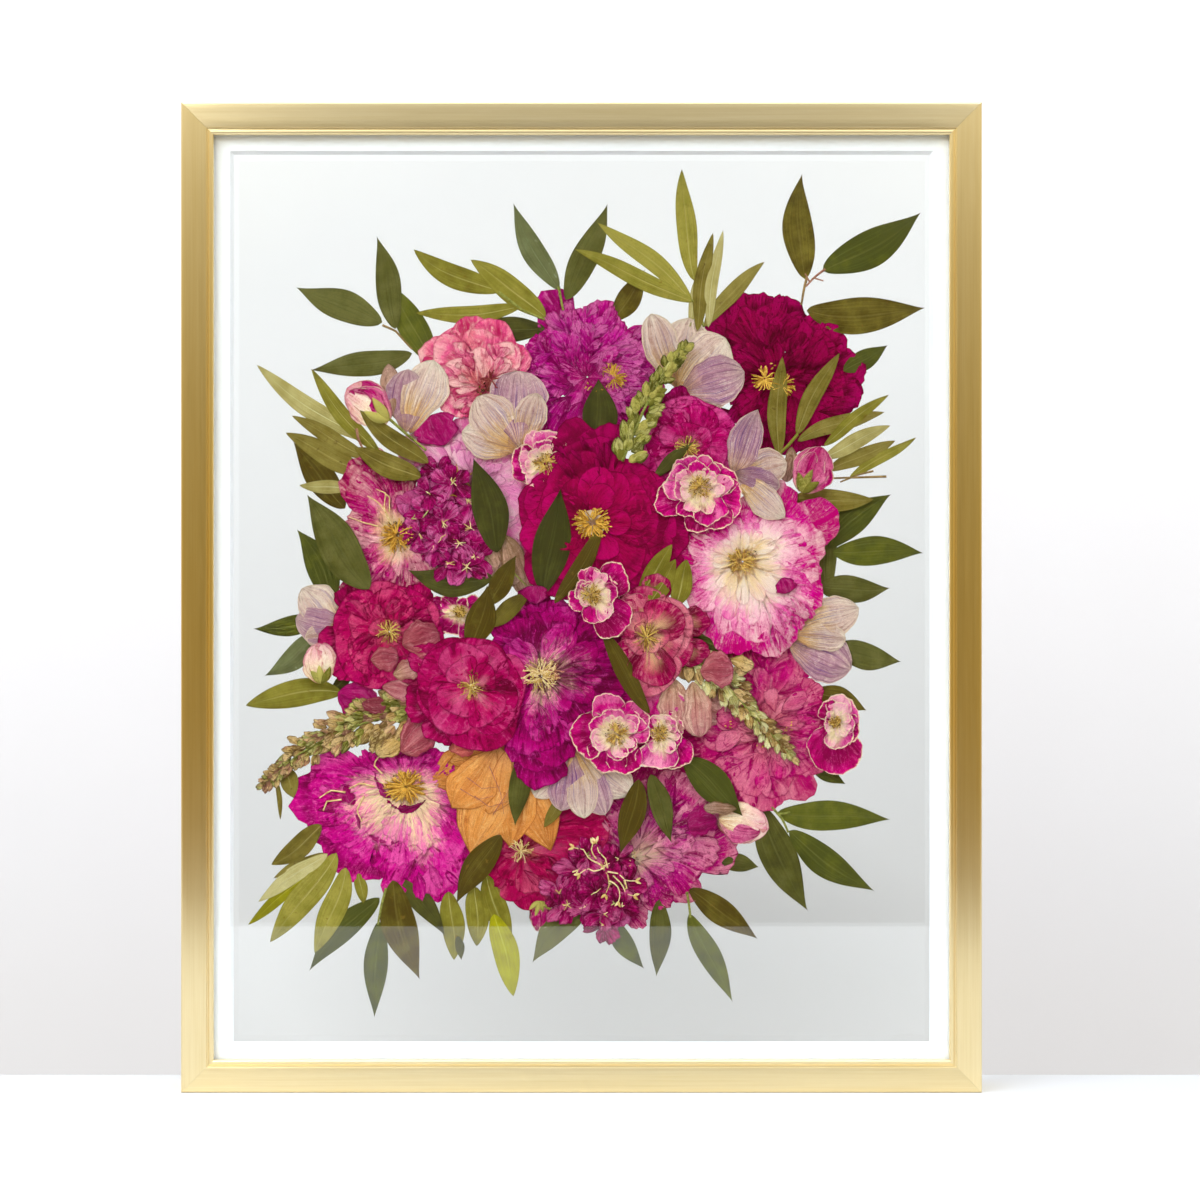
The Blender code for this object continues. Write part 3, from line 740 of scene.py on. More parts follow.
def stem_skin(name, dark, light):
    """Dried stalk or twig: finely speckled and bumpy, dull."""
    made, tree, shader = new_material(name)
    where = place(tree)
    skin = reading(tree, "skin")
    speck = noise(tree, where, 700.0, detail=4)
    shade = sums(tree, "ADD", speck, sums(tree, "MULTIPLY", sums(tree, "SUBTRACT", skin["Z"], 0.5), 0.6))
    surfaced(tree, shader, ramp(tree, shade, ((0.3, dark), (0.7, light))),
             span(tree, speck, 0.3, 0.7, 0.6, 0.8), 0.12)
    bumped(tree, shader, speck, 0.0002, strength=0.5)
    return made


RUSCUS = leaf_skin("ruscus_dark_green", "#3C3A12", "#54511F", "#6C6A38", "#6E6C3C")
RUSCUS_MID = leaf_skin("ruscus_mid_green", "#4A4C18", "#646621", "#7C7C40", "#868448")
RUSCUS_BROWNED = leaf_skin("ruscus_browned", "#50400E", "#706428", "#8C7E38", "#948648", spots="#7A6028")
RUSCUS_BLOOMED = leaf_skin("ruscus_whitened", "#585A34", "#6E7248", "#888C68", "#8E9270", spots="#989A80")
OLIVE = leaf_skin("olive_yellow_green", "#6C641E", "#8A8234", "#A69C4C", "#BCB270", spots="#7A6020",
                  rib_share=0.7)
OLIVE_BROWN = leaf_skin("olive_brown_green", "#5C4E1A", "#7C6E30", "#968848", "#AC9E60", spots="#5C4620",
                        rib_share=0.7)
OLIVE_PALE = leaf_skin("olive_underside_pale", "#988C50", "#B8AC70", "#D0C690", "#E0D8A8", rib_share=0.7)
OLIVE_BRIGHT = leaf_skin("olive_bright_green", "#847C0C", "#A8A41C", "#BCB834", "#C8C45C", rib_share=0.7)
STALK_GREEN = stem_skin("stalk_green", "#5A6020", "#A0A050")
TWIG_BROWN = stem_skin("twig_brown", "#5A4420", "#A88A58")
TWIG_PINK = stem_skin("twig_reddish", "#7A4438", "#B88A70")

LEAF_SKINS = {
    "dark": RUSCUS, "mid": RUSCUS_MID, "brown": RUSCUS_BROWNED, "white": RUSCUS_BLOOMED, "olive": OLIVE,
    "olive_brown": OLIVE_BROWN, "pale": OLIVE_PALE, "bright": OLIVE_BRIGHT,
}

# name, tip, base, width, bow, kind, layer, tone; mm on the flower plane
LEAVES = (
    ("top_left_a", (-154.5, 434), (-108, 415), 17, 0.5, "dark", 0.1, 0.95),
    ("top_left_b", (-111, 461), (-101, 411), 14, -1.0, "dark", 0.9, 0.7),
    ("top_left_c", (-106, 437), (-82, 392), 16, -1.5, "mid", 0.3, 0.45),
    ("top_left_d", (-147, 389), (-92, 398), 14, 2.0, "dark", 0.2, 0.75),
    ("top_left_e", (-66, 410), (-20, 412), 14, 1.0, "dark", -0.1, 0.2),
    ("top_fork_left", (-37.5, 479), (-13, 432), 13, 1.5, "white", 0.3, 0.45),
    ("top_fork_right", (13.5, 479), (-9, 427), 15, -1.5, "dark", 0.3, 0.6),
    ("top_behind_purple", (34.5, 443), (17, 415), 13, -0.5, "brown", -0.1, 0.2),
    ("top_spoon", (119.5, 495), (121, 438), 17, 3.0, "brown", 0.3, 0.35),
    ("top_right_a", (184, 473.5), (131, 442), 20, -2.0, "mid", 0.5, 0.1),
    ("top_right_b", (186, 422.5), (122, 421), 20, -3.5, "brown", -0.1, 0.35),
    ("right_behind", (166, 402), (142, 388), 11, 0.0, "mid", -0.1, 0.1),
    ("right_cluster_a", (168, 321), (134, 292), 16, 4.0, "mid", 0.4, 0.1),
    ("right_cluster_b", (140, 314), (127, 300), 10, 0.5, "dark", 0.2, 0.4),
    ("right_cluster_c", (131, 315), (133, 266), 13, 0.0, "dark", 0.1, 0.7),
    ("right_cluster_d", (185, 289.5), (136, 290), 16, 1.0, "mid", 0.7, 0.35),
    ("right_cluster_e", (167, 271), (128, 272), 15, -2.0, "dark", 0.2, 0.6),
    ("right_low_a", (173, 230.5), (136, 238), 15, -0.5, "dark", 0.3, 0.75),
    ("right_low_b", (154.5, 204.5), (125, 215), 13, 0.5, "brown", -0.1, 0.45),
    ("right_low_c", (143, 164), (124, 173), 8, 1.0, "mid", -0.1, 0.1),
    ("foot_right_a", (167, 145.5), (106, 149), 16.5, -0.5, "mid", 0.3, 0.4),
    ("foot_right_b", (158, 106), (112, 138.5), 16, -1.5, "mid", 0.5, 0.15),
    ("foot_right_c", (123, 96), (99, 152), 20, -4.0, "dark", 0.3, 0.45),
    ("foot_right_d", (96, 119.5), (76, 122), 10, 0.5, "dark", -0.1, 0.5),
    ("foot_right_torn", (95, 80), (58, 107), 14, 1.0, "brown", 0.2, 0.15),
    ("foot_right_long", (82, 46.5), (58.5, 94), 12.5, -0.5, "mid", 0.2, 0.4),
    ("foot_mid_a", (41, 60), (43, 102), 12, 0.0, "dark", -0.1, 0.5),
    ("foot_mid_b", (33.5, 64), (16, 92), 11, -1.5, "mid", -0.1, 0.2),
    ("foot_mid_c", (-27, 68), (3, 98), 15, -3.0, "dark", 0.0, 0.85),
    ("foot_left_a", (-74, 82), (-100, 116), 12, 1.0, "dark", 0.1, 0.35),
    ("foot_left_b", (-88.5, 58.5), (-103, 112), 19, -2.0, "brown", 0.4, 0.2),
    ("foot_left_c", (-113, 38), (-110.5, 90), 13, 0.5, "mid", 0.2, 0.15),
    ("foot_left_d", (-148, 63.5), (-110, 103), 14, -2.0, "mid", 0.2, 0.1),
    ("side_left_a", (-178, 249), (-140, 255), 11, 2.5, "mid", 0.1, 0.2),
    ("side_left_b", (-172, 223), (-142, 247), 13, 2.5, "white", 0.1, 0.35),
    ("side_left_c", (-137, 213), (-125, 224), 7, 0.0, "dark", 0.1, 0.3),
    ("left_behind", (-156, 350), (-128, 314), 16, 1.0, "brown", -0.2, 0.1),
    ("left_narrow", (-154, 302.5), (-134, 262), 17, -2.5, "mid", 0.4, 0.1),
    ("mid_left_low", (-94, 280.5), (-48, 276), 16, 4.5, "dark", 2.2, 0.35),
    ("mid_left_high", (-35, 288), (-50, 261), 12, 0.5, "brown", 3.4, 0.2),
    ("mid_left_mid", (-51, 272), (-60, 238), 16, -1.5, "brown", 4.0, 0.0),
    ("mid_left_small", (-26, 269), (-50, 250), 10, 0.5, "brown", 3.8, 0.35),
    ("mid_long_right", (8, 254), (37, 203), 10, 1.0, "brown", 5.8, 0.05),
    ("mid_sliver", (13.5, 310), (-14, 262), 9.5, -1.5, "brown", 5.3, 0.15),
    ("purple_under", (9.5, 384), (8, 348), 19, -1.0, "dark", 1.2, 0.2),
    ("rose_under", (60.5, 350), (39, 331), 7, 0.0, "dark", 3.2, 0.45),
    ("mid_right", (83, 236), (58, 244), 12, 0.5, "mid", 2.6, 0.1),
    ("low_centre_a", (-35.5, 142), (-30, 180), 12, -1.5, "dark", 2.6, 0.5),
    ("low_centre_b", (21, 127), (31, 167), 14, 1.0, "brown", 3.3, 0.0),
    ("low_centre_c", (49, 133), (38, 170), 12, -0.5, "dark", 3.1, 0.55),
    ("low_left_wide", (-68, 100), (-44, 137), 15, -1.0, "brown", 1.6, 0.05),
    ("olive_top_a", (-91, 454), (-44, 431.5), 13, 3.5, "olive", 0.2, 0.35),
    ("olive_top_b", (-60.5, 448), (-20, 417), 14, -1.5, "olive", 0.5, 0.55),
    ("olive_top_c", (-90, 419), (-33, 422.5), 10, 1.5, "olive", 0.3, 0.55),
    ("olive_top_d", (9, 469), (60, 427), 10.5, -1.5, "olive", 0.5, 0.95),
    ("olive_top_e", (-4, 453.5), (60, 425), 10, -1.0, "olive", 0.8, 0.6),
    ("olive_top_f", (55, 497.5), (62, 437), 11, 2.5, "olive", 0.5, 0.85),
    ("olive_top_g", (70.5, 463), (62, 410), 8.5, 0.5, "olive_brown", 1.2, 0.5),
    ("olive_top_h", (76, 464.5), (68, 412), 7, 0.5, "pale", 0.9, 0.55),
    ("olive_top_i", (67, 450), (58, 412), 5, 0.5, "pale", 0.7, 0.5),
    ("olive_top_j", (99.5, 447), (67, 412), 9, 2.5, "olive_brown", 0.6, 0.85),
    ("olive_on_crimson", (108, 396), (106, 343), 10.5, 0.5, "olive_brown", 1.4, 0.55),
    ("olive_right_a", (139, 398), (116, 354), 10, 1.0, "olive_brown", 1.5, 0.55),
    ("olive_right_b", (164, 365.5), (117, 350), 9, 2.5, "olive_brown", 1.4, 0.75),
    ("olive_right_c", (166, 375.5), (131, 348), 7, 0.5, "olive", 1.7, 0.45),
    ("olive_right_d", (167, 358.5), (131, 341), 9, 0.5, "pale", 1.9, 0.35),
    ("olive_right_e", (170, 350), (134, 334), 9, 0.5, "olive_brown", 1.5, 0.8),
    ("olive_right_f", (181, 352.5), (145, 331), 6, -0.5, "olive", 1.3, 0.6),
    ("olive_right_g", (158, 319), (108, 316), 13, 0.0, "olive_brown", 1.4, 0.6),
    ("olive_round_a", (49, 294), (31, 266), 11, 0.0, "olive", 4.5, 0.3),
    ("olive_round_b", (51, 286), (37, 262), 10.5, 0.0, "olive", 4.8, 0.2),
    ("olive_round_c", (57, 286), (51, 261), 12, 0.0, "olive", 4.6, 0.3),
    ("olive_side_left", (-182, 207), (-130, 214), 15, -3.0, "olive", 0.6, 0.35),
    ("olive_left_a", (-176.5, 391), (-118, 350), 11, 1.5, "pale", 0.3, 0.45),
    ("olive_left_b", (-147, 389), (-110, 343), 9, 1.5, "olive", 0.9, 0.5),
    ("olive_left_c", (-157, 364), (-115, 341), 9, 0.5, "olive_brown", 0.7, 0.7),
    ("olive_left_d", (-160.5, 354.5), (-115, 332), 12, 0.5, "olive_brown", 0.5, 0.65),
    ("olive_left_e", (-153, 326.5), (-125, 325), 7.5, 0.5, "pale", 0.3, 0.25),
    ("olive_left_f", (-120, 366.5), (-83, 338), 11, 1.5, "olive_brown", 3.4, 0.4),
    ("olive_left_g", (-123, 346), (-87, 330), 13, 0.5, "olive_brown", 3.8, 0.5),
    ("olive_foot_a", (-36.5, 49.5), (-47, 94), 14, 0.5, "bright", 0.5, 0.5),
    ("olive_foot_b", (-39, 77), (-52, 115), 13, -0.5, "olive", 0.3, 0.3),
    ("olive_foot_c", (-56.5, 76.5), (-58, 109), 13, 0.5, "olive", 0.2, 0.45),
    ("olive_foot_d", (-69, 69), (-72, 106), 13, 0.5, "olive", 0.1, 0.4),
    ("olive_foot_e", (-65, 69), (-67, 82), 5, 0.0, "dark", 0.5, 0.5),
    ("olive_foot_f", (-145, 73), (-128, 119), 14, 2.0, "olive", 0.4, 0.75),
    ("olive_foot_g", (-118, 99.5), (-121, 116), 7, 0.0, "olive", 0.1, 0.4),
    ("olive_foot_h", (-169, 79), (-133, 127), 15, 1.0, "olive", 0.8, 0.75),
    ("olive_foot_i", (-181, 88.5), (-150, 115), 7, 0.5, "bright", 0.3, 0.2),
    ("olive_foot_j", (-175.5, 101), (-138, 127), 9, 0.0, "pale", 0.5, 0.85),
    ("olive_foot_k", (-167, 113.5), (-140, 127), 6, 0.0, "olive_brown", 0.3, 0.75),
    ("olive_foot_l", (-168, 120.5), (-141, 142), 12, 1.5, "olive_brown", 0.6, 0.4),
    ("olive_foot_m", (-163, 145), (-165, 167), 3, 0.0, "olive_brown", 0.2, 0.5),
    ("olive_foot_n", (-156, 157), (-162, 174), 10, 0.5, "olive_brown", 0.2, 0.6),
    ("olive_low_mid", (-20, 141), (-10, 158), 7, 0.0, "olive_brown", 1.8, 0.5),
)


def leaf(name, tip, base, width, bow, kind, layer, tone, seed):
    """One pressed leaf, its tip drawn out further when it is a ruscus leaf."""
    rng = np.random.default_rng(seed)
    sheets = Sheets()
    narrow = kind in ("olive", "olive_brown", "pale", "bright")
    blade(sheets, rng, tip, base, width, layer_y(layer), bend=bow, widest=0.46 if narrow else 0.44,
          blunt=0.62 if narrow else 0.72, point=0.8 if narrow else 1.2, fold=0.22 if narrow else 0.3,
          tone=tone, rows=34, cols=11)
    sheets.build("leaf_" + name, (LEAF_SKINS[kind],), slot="leaf_dark")


for number, row in enumerate(LEAVES):
    leaf(*row, seed=1000 + number)

# leaves that stand for CAD solids: node, tip, base, width, bow, kind, tone
for number, (node, tip, base, width, bow, kind, tone) in enumerate((
    ("leaf_broad_left", (-148.5, 321), (-115, 270), 22, 1.0, "dark", 0.7),
    ("leaf_centre_left", (-58, 341), (-45, 290), 19, -1.0, "dark", 0.15),
    ("leaf_centre", (-11, 324), (-20, 268), 20, 0.5, "dark", 0.08),
    ("leaf_low_right", (87, 147), (55, 178), 18, 1.5, "mid", 0.05),
)):
    sheets = Sheets()
    middle = (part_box(node)[0].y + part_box(node)[1].y) / 2 / MM
    blade(sheets, np.random.default_rng(1500 + number), tip, base, width, middle, bend=bow, widest=0.44,
          blunt=0.72, point=1.15, fold=0.35, tone=tone, rows=40, cols=13)
    sheets.build("pressed_" + node, (LEAF_SKINS[kind],), node, "leaf_dark")


# ---------------------------------------------------------------- finishes of petals
def petal_skin(name, stops, dark, pale, by="heart", wander=0.3, ribs=7.0, dark_share=0.85, pale_share=0.75,
               calm=0.0, rim=None, rim_mm=0.8, rim_share=0.85, blotch=None, blotch_share=0.5, vein=None,
               vein_share=0.6, crumple=1.0, edge_share=0.6, fine=1.0, vivid=1.0,
               flush=None, flush_share=0.6):
    """A dried, pressed petal: papery, thin, finely wrinkled lengthwise. stops run from the flower's heart (or
    the petal's own base) outwards; dark is where the tissue doubles over and also painted shade in its
    creases and on its shaded parts, pale where it is stretched thin and also painted highlight on its ridges
    and lit parts; calm is how far out from a pale heart the folds stay light, fine how strongly the small
    wrinkles show, vivid the strength of the colour, flush the lighter tissue along the middle of each petal."""
    made, tree, shader = new_material(name)
    skin = reading(tree, "skin")
    bloom = reading(tree, "bloom")
    where = place(tree)
    along, across, tone = skin["X"], skin["Y"], skin["Z"]
    start = bloom["X"] if by == "heart" else along
    own = sums(tree, "MULTIPLY", bloom["Z"], 41.0)

    def grained(pace, width):
        return add(tree, "ShaderNodeCombineXYZ", X=sums(tree, "MULTIPLY", along, pace),
                   Y=sums(tree, "MULTIPLY", across, width), Z=own).outputs["Vector"]

    def blend(*parts):
        total = None
        for share, value in parts:
            part = sums(tree, "MULTIPLY", sums(tree, "SUBTRACT", value, 0.5), share)
            total = part if total is None else sums(tree, "ADD", total, part)
        return total

    lines = noise(tree, grained(1.3, ribs), 1.0, detail=6, distortion=0.5, rough=0.64)
    fibres = noise(tree, grained(3.5, 3.0 * ribs), 1.0, detail=3, distortion=0.3)
    crease = noise(tree, where, 270.0, detail=6, distortion=1.2, rough=0.64)
    cloud = noise(tree, where, 120.0, detail=3)
    grain = noise(tree, where, 1400.0, detail=2)
    relief = blend((0.5, lines), (0.34, crease), (0.16, fibres))
    drift = blend((1.7, lines), (0.8, fibres), (0.8, cloud))
    base = ramp(tree, sums(tree, "ADD", start, sums(tree, "MULTIPLY", drift, wander)), stops)
    if blotch:
        patch = noise(tree, where, 75.0, detail=4, distortion=0.8)
        base = mixed(tree, span(tree, patch, 0.52, 0.66, 0.0, blotch_share), base, blotch)
    sweep = noise(tree, grained(0.8, 0.3 * ribs), 1.0, detail=2)
    # the petal's tone, with the painted light and shade that it carries, and large random patches
    light = sums(tree, "ADD", tone, blend((1.5, sweep)))
    outward = span(tree, start, calm, calm + 0.25, 0.12 if calm else 1.0, 1.0)
    inward = span(tree, start, calm, calm + 0.25, 1.0, 0.7 if calm else 1.0)
    # painted shade and painted highlight: darker where the tone is low, paler where it is high
    base = mixed(tree, sums(tree, "MULTIPLY", span(tree, light, 0.52, 0.05, 0.0, dark_share), outward), base,
                 dark)
    base = mixed(tree, sums(tree, "MULTIPLY", span(tree, light, 0.58, 1.0, 0.0, pale_share), inward), base,
                 pale)
    # small wrinkles: painted shade in their hollows and painted highlight on their crests, along with the
    # bump
    base = mixed(tree, sums(tree, "MULTIPLY", span(tree, relief, -0.012, -0.085, 0.0, dark_share * fine),
                            outward), base, dark)
    base = mixed(tree, sums(tree, "MULTIPLY", span(tree, relief, 0.02, 0.1, 0.0, pale_share * fine), inward),
                 base, pale)
    # sharp folds where the tissue has creased: painted shade along the creases and painted highlight along
    # the lines
    for source, share, colour in ((crease, 0.6 * dark_share * fine, dark),
                                  (lines, 0.5 * pale_share * fine, pale)):
        ridge = sums(tree, "ABSOLUTE", sums(tree, "SUBTRACT", source, 0.5), 0.0)
        base = mixed(tree, sums(tree, "MULTIPLY", span(tree, ridge, 0.014, 0.0, 0.0, share), outward), base,
                     colour)
    if flush:
        middle = sums(tree, "ADD", sums(tree, "ABSOLUTE", across, 0.0), blend((1.6, lines), (0.8, cloud)))
        run = span(tree, along, 0.8, 0.15, 0.0, flush_share)
        base = mixed(tree, sums(tree, "MULTIPLY", span(tree, middle, 0.42, 0.0), run), base, flush)
    if vein:
        veins = noise(tree, grained(0.7, 2.6 * ribs), 1.0, detail=3)
        streaks = sums(tree, "MULTIPLY", span(tree, veins, 0.54, 0.62, 0.0, vein_share),
                       span(tree, along, 0.95, 0.6))
        base = mixed(tree, streaks, base, vein)
    # darker along every margin: a dried rim, and painted shade where the edge lies on what is beneath it
    base = mixed(tree, span(tree, bloom["Y"], 0.9, 0.15, 0.0, edge_share), base, dark)
    if rim:
        uneven = sums(tree, "ADD", bloom["Y"],
                      sums(tree, "MULTIPLY", sums(tree, "SUBTRACT", crease, 0.5), rim_mm * 4))
        outer = sums(tree, "MULTIPLY", span(tree, uneven, rim_mm, rim_mm * 0.4, 0.0, rim_share),
                     span(tree, along, 0.35, 0.6))
        base = mixed(tree, outer, base, rim)
    base = mixed(tree, sums(tree, "MULTIPLY", span(tree, grain, 0.44, 0.3, 0.0, 0.25), outward), base, dark)
    surfaced(tree, shader, deepened(tree, base, vivid), span(tree, grain, 0.3, 0.7, 0.6, 0.82), 0.04)
    bumped(tree, shader, relief, 0.005 * crumple, strength=0.9)
    return made


PURPLE = petal_skin("peony_purple_tissue",
                    ((0.0, "#CC307A"), (0.35, "#D03494"), (0.7, "#D438A0"), (1.0, "#C42888")),
                    "#8C0050", "#F08CC4", pale_share=0.65, vivid=1.06)
CRIMSON_DARK = petal_skin("peony_black_crimson_tissue",
                          ((0.0, "#A00844"), (0.4, "#9A0442"), (0.8, "#A00448"), (1.0, "#A80858")),
                          "#58001C", "#BC2868", pale_share=0.35, vivid=1.15)
SALMON = petal_skin("rose_salmon_tissue",
                    ((0.0, "#E07C50"), (0.16, "#F08080"), (0.5, "#F87CA4"), (1.0, "#F06498")),
                    "#B82C58", "#FFD4CC", blotch="#F4A494", blotch_share=0.4, fine=0.7, ribs=6, vivid=1.05,
                    crumple=0.8)
LILAC = petal_skin("peony_lilac_tissue",
                   ((0.0, "#FFBCC8"), (0.3, "#FCA8D4"), (0.7, "#F888C8"), (1.0, "#EC74B0")),
                   "#B43478", "#FFD4DC", fine=0.7, dark_share=0.45, crumple=0.6)
CRIMSON = petal_skin("peony_crimson_tissue",
                     ((0.0, "#A40044"), (0.4, "#A40044"), (0.75, "#A8004E"), (1.0, "#A60254")),
                     "#6C0028", "#CC2470", ribs=5, dark_share=0.8, pale_share=0.6, fine=0.55, edge_share=0.8,
                     vivid=1.15)
ROSE_PINK = petal_skin("rose_crimson_pink_tissue",
                       ((0.0, "#A8604A"), (0.14, "#D07078"), (0.28, "#C42C6C"), (0.7, "#B81864"),
                        (1.0, "#BC1C70")),
                       "#6C002C", "#F07CB4", ribs=6, pale_share=0.5, fine=0.9, vivid=1.08, flush="#E470A8",
                       flush_share=0.5)
PINK_WHITE = petal_skin("peony_pink_white_tissue",
                        ((0.0, "#FFD898"), (0.25, "#FFE8BC"), (0.46, "#FFDCD0"), (0.6, "#FC98CC"),
                         (0.8, "#DC489C"), (1.0, "#C0287C")),
                        "#B8286C", "#FFF0E4", ribs=8, calm=0.45, dark_share=0.8, pale_share=0.6, wander=0.36,
                        edge_share=0.25,
                        crumple=0.5, vivid=1.14)
CREAM_PINK = petal_skin("peony_cream_pink_tissue",
                        ((0.0, "#FCCC88"), (0.18, "#FFE8BC"), (0.34, "#FFC8B0"), (0.46, "#E0609C"),
                         (0.62, "#BC2878"), (1.0, "#A8185C")),
                        "#7C0038", "#FFE0D4", ribs=8, calm=0.26, pale_share=0.6, wander=0.34, edge_share=0.3,
                        crumple=0.6, vivid=1.15)
STOCK = petal_skin("stock_crimson_tissue",
                   ((0.0, "#F09CB4"), (0.25, "#C82C7C"), (0.7, "#B81C68"), (1.0, "#C0247C")),
                   "#600424", "#F08CC0", by="along", fine=0.9, vivid=1.1)
ROSE_DARK = petal_skin("rose_dark_pink_tissue",
                       ((0.0, "#ECB088"), (0.16, "#D06070"), (0.34, "#BC2058"), (1.0, "#B4185C")),
                       "#5C0020", "#F0789C", ribs=6, pale_share=0.45, fine=0.9, vivid=1.08, flush="#E06488",
                       flush_share=0.5)
ROSE_CRIMSON = petal_skin("rose_crimson_tissue",
                          ((0.0, "#FCD494"), (0.1, "#F0A890"), (0.22, "#C82C64"), (0.6, "#B00854"),
                           (1.0, "#A80450")),
                          "#5C0020", "#F07CAC", ribs=5, pale_share=0.45, fine=0.85, vivid=1.08,
                          flush="#FC9CB8", flush_share=0.75)
VIOLET = petal_skin("peony_violet_tissue",
                    ((0.0, "#F8D498"), (0.16, "#FFD4BC"), (0.32, "#F488B4"), (0.48, "#BC0C70"),
                     (1.0, "#A80464")),
                    "#60002C", "#F070BC", ribs=8, pale_share=0.48, fine=0.9, wander=0.65, vivid=1.08)
SMALL_ROSE = petal_skin("rose_small_tissue",
                        ((0.0, "#E0A464"), (0.2, "#FFC49C"), (0.38, "#E86888"), (0.6, "#C01C60"),
                         (1.0, "#A80854")),
                        "#680024", "#F8A0AC", ribs=6, fine=0.8, pale_share=0.6, flush="#FFD4A0",
                        flush_share=0.9, vivid=1.04)
DUSTY = petal_skin("peony_dusty_pink_tissue",
                   ((0.0, "#E88C90"), (0.4, "#E47898"), (0.62, "#CC4484"), (0.82, "#B41868"),
                    (1.0, "#AC0C5C")),
                   "#90144C", "#F8A8B8", blotch="#E8949C", blotch_share=0.35, fine=0.8, pale_share=0.5,
                   crumple=0.7, vivid=1.12)
MAGENTA = petal_skin("peony_magenta_tissue",
                     ((0.0, "#FCC888"), (0.18, "#FFE8BC"), (0.38, "#FFD8B8"), (0.5, "#F898B8"),
                      (0.62, "#CC2C8C"), (1.0, "#BC1078")),
                     "#74003C", "#F880C0", ribs=7, calm=0.36, pale_share=0.7, wander=0.5, edge_share=0.4,
                     crumple=0.45, vivid=1.08)
CRIMSON_LOW = petal_skin("flower_crimson_tissue",
                         ((0.0, "#F8C480"), (0.14, "#E07878"), (0.28, "#B82054"), (1.0, "#A80C4C")),
                         "#640022", "#EC7C98", ribs=7, pale_share=0.45, fine=0.8, flush="#E8789C",
                         flush_share=0.6, vivid=1.08)
STREAKED = petal_skin("peony_streaked_tissue",
                      ((0.0, "#FFE4C4"), (0.2, "#FCBCBC"), (0.42, "#E464AC"), (0.7, "#C43084"),
                       (1.0, "#AC1464")),
                      "#78003C", "#FFC0CC", ribs=10, wander=0.5, calm=0.15, pale_share=0.7, vivid=1.15)
STOCK_PURPLE = petal_skin("stock_purple_tissue", ((0.0, "#E08CA4"), (0.3, "#B41860"), (1.0, "#AC1460")),
                          "#5C0024", "#E884B0", by="along", fine=0.9, vivid=1.1)
SPRAY = petal_skin("spray_rose_tissue",
                   ((0.0, "#FFE0A0"), (0.36, "#FFE8BC"), (0.44, "#F490B4"), (0.54, "#CC2484"),
                    (1.0, "#C40C70")),
                   "#80003A", "#F8A0C8", ribs=5, calm=0.34, pale_share=0.7, rim="#FCE4C8", rim_mm=0.8,
                   edge_share=0.2, fine=0.8,
                   crumple=0.6, vivid=1.12)
SPRAY_PINK = petal_skin("spray_rose_pink_tissue",
                        ((0.0, "#FFE4A8"), (0.36, "#FFECC4"), (0.54, "#F890BC"), (1.0, "#E050A0")),
                        "#AC2070", "#FFD4D8", ribs=5, calm=0.34, rim="#FCE4C8", rim_mm=0.9, edge_share=0.2,
                        fine=0.7, crumple=0.6,
                        vivid=1.1)
MAUVE = petal_skin("petal_faded_mauve", ((0.0, "#C8686C"), (0.5, "#BC5464"), (1.0, "#B8586C")), "#8C3040",
                   "#E8A4A4",
                   by="along", fine=0.7)
BEIGE = petal_skin("petal_faded_beige", ((0.0, "#DCB084"), (0.5, "#D8968C"), (1.0, "#C87C84")), "#A05450",
                   "#F8D8C0",
                   by="along", fine=0.7)
MAGENTA_LOOSE = petal_skin("petal_loose_magenta", ((0.0, "#C00C74"), (0.5, "#BC086C"), (1.0, "#B41868")),
                           "#7C0040",
                           "#E07CB4", by="along", pale_share=0.5, fine=0.6)
TULIP_CREAM = petal_skin("tulip_cream_tissue",
                         ((0.0, "#E8A44C"), (0.22, "#F0BC6C"), (0.42, "#E8C498"), (0.62, "#E4C4B8"),
                          (0.85, "#F0D4C4"), (1.0, "#FCECD8")),
                         "#B07C6C", "#FFF0DC", by="along", wander=0.3, ribs=8, pale_share=0.55,
                         dark_share=0.6,
                         vein="#7C5C9C", vein_share=0.5, rim="#FCE8C8", rim_mm=0.8, rim_share=0.6,
                         edge_share=0.5)
TULIP_LILAC = petal_skin("tulip_lilac_tissue",
                         ((0.0, "#E4B070"), (0.2, "#DCAC94"), (0.42, "#CC98A8"), (0.75, "#CC9CA8"),
                          (1.0, "#E0BCB8")),
                         "#94607C", "#F8E0D4", by="along", wander=0.24, ribs=9, pale_share=0.6,
                         dark_share=0.6, vein="#70408C",
                         vein_share=0.75, rim="#F8DCC8", rim_mm=0.8, rim_share=0.6, edge_share=0.5)
TULIP_TAN = petal_skin("tulip_tan_tissue", ((0.0, "#A88460"), (0.5, "#C4947C"), (1.0, "#D4A898")), "#7C5834",
                       "#F0C8B0",
                       by="along", ribs=7, dark_share=0.7, pale_share=0.6)
ORANGE = petal_skin("lily_orange_tissue",
                    ((0.0, "#FCB474"), (0.3, "#F8AC5C"), (0.7, "#F4A450"), (1.0, "#EC9848")),
                    "#B85C28", "#FFCC84", by="along", wander=0.2, ribs=7, dark_share=0.6, pale_share=0.5,
                    vein="#C0683C",
                    vein_share=0.3, edge_share=0.8)
RED_PETAL = petal_skin("petal_dull_red", ((0.0, "#E07464"), (1.0, "#D8585C")), "#A83840", "#F0988C",
                       by="along")
BUD_CREAM = petal_skin("bud_cream_tissue",
                       ((0.0, "#F0CC90"), (0.4, "#FCE4C0"), (0.7, "#FCC8C0"), (1.0, "#EC8CAC")),
                       "#C87868", "#FFF6E0", by="along", wander=0.4, ribs=3, dark_share=0.7, pale_share=0.6,
                       rim="#C04C8C",
                       rim_mm=0.4, rim_share=0.6, edge_share=0.6, crumple=0.5)
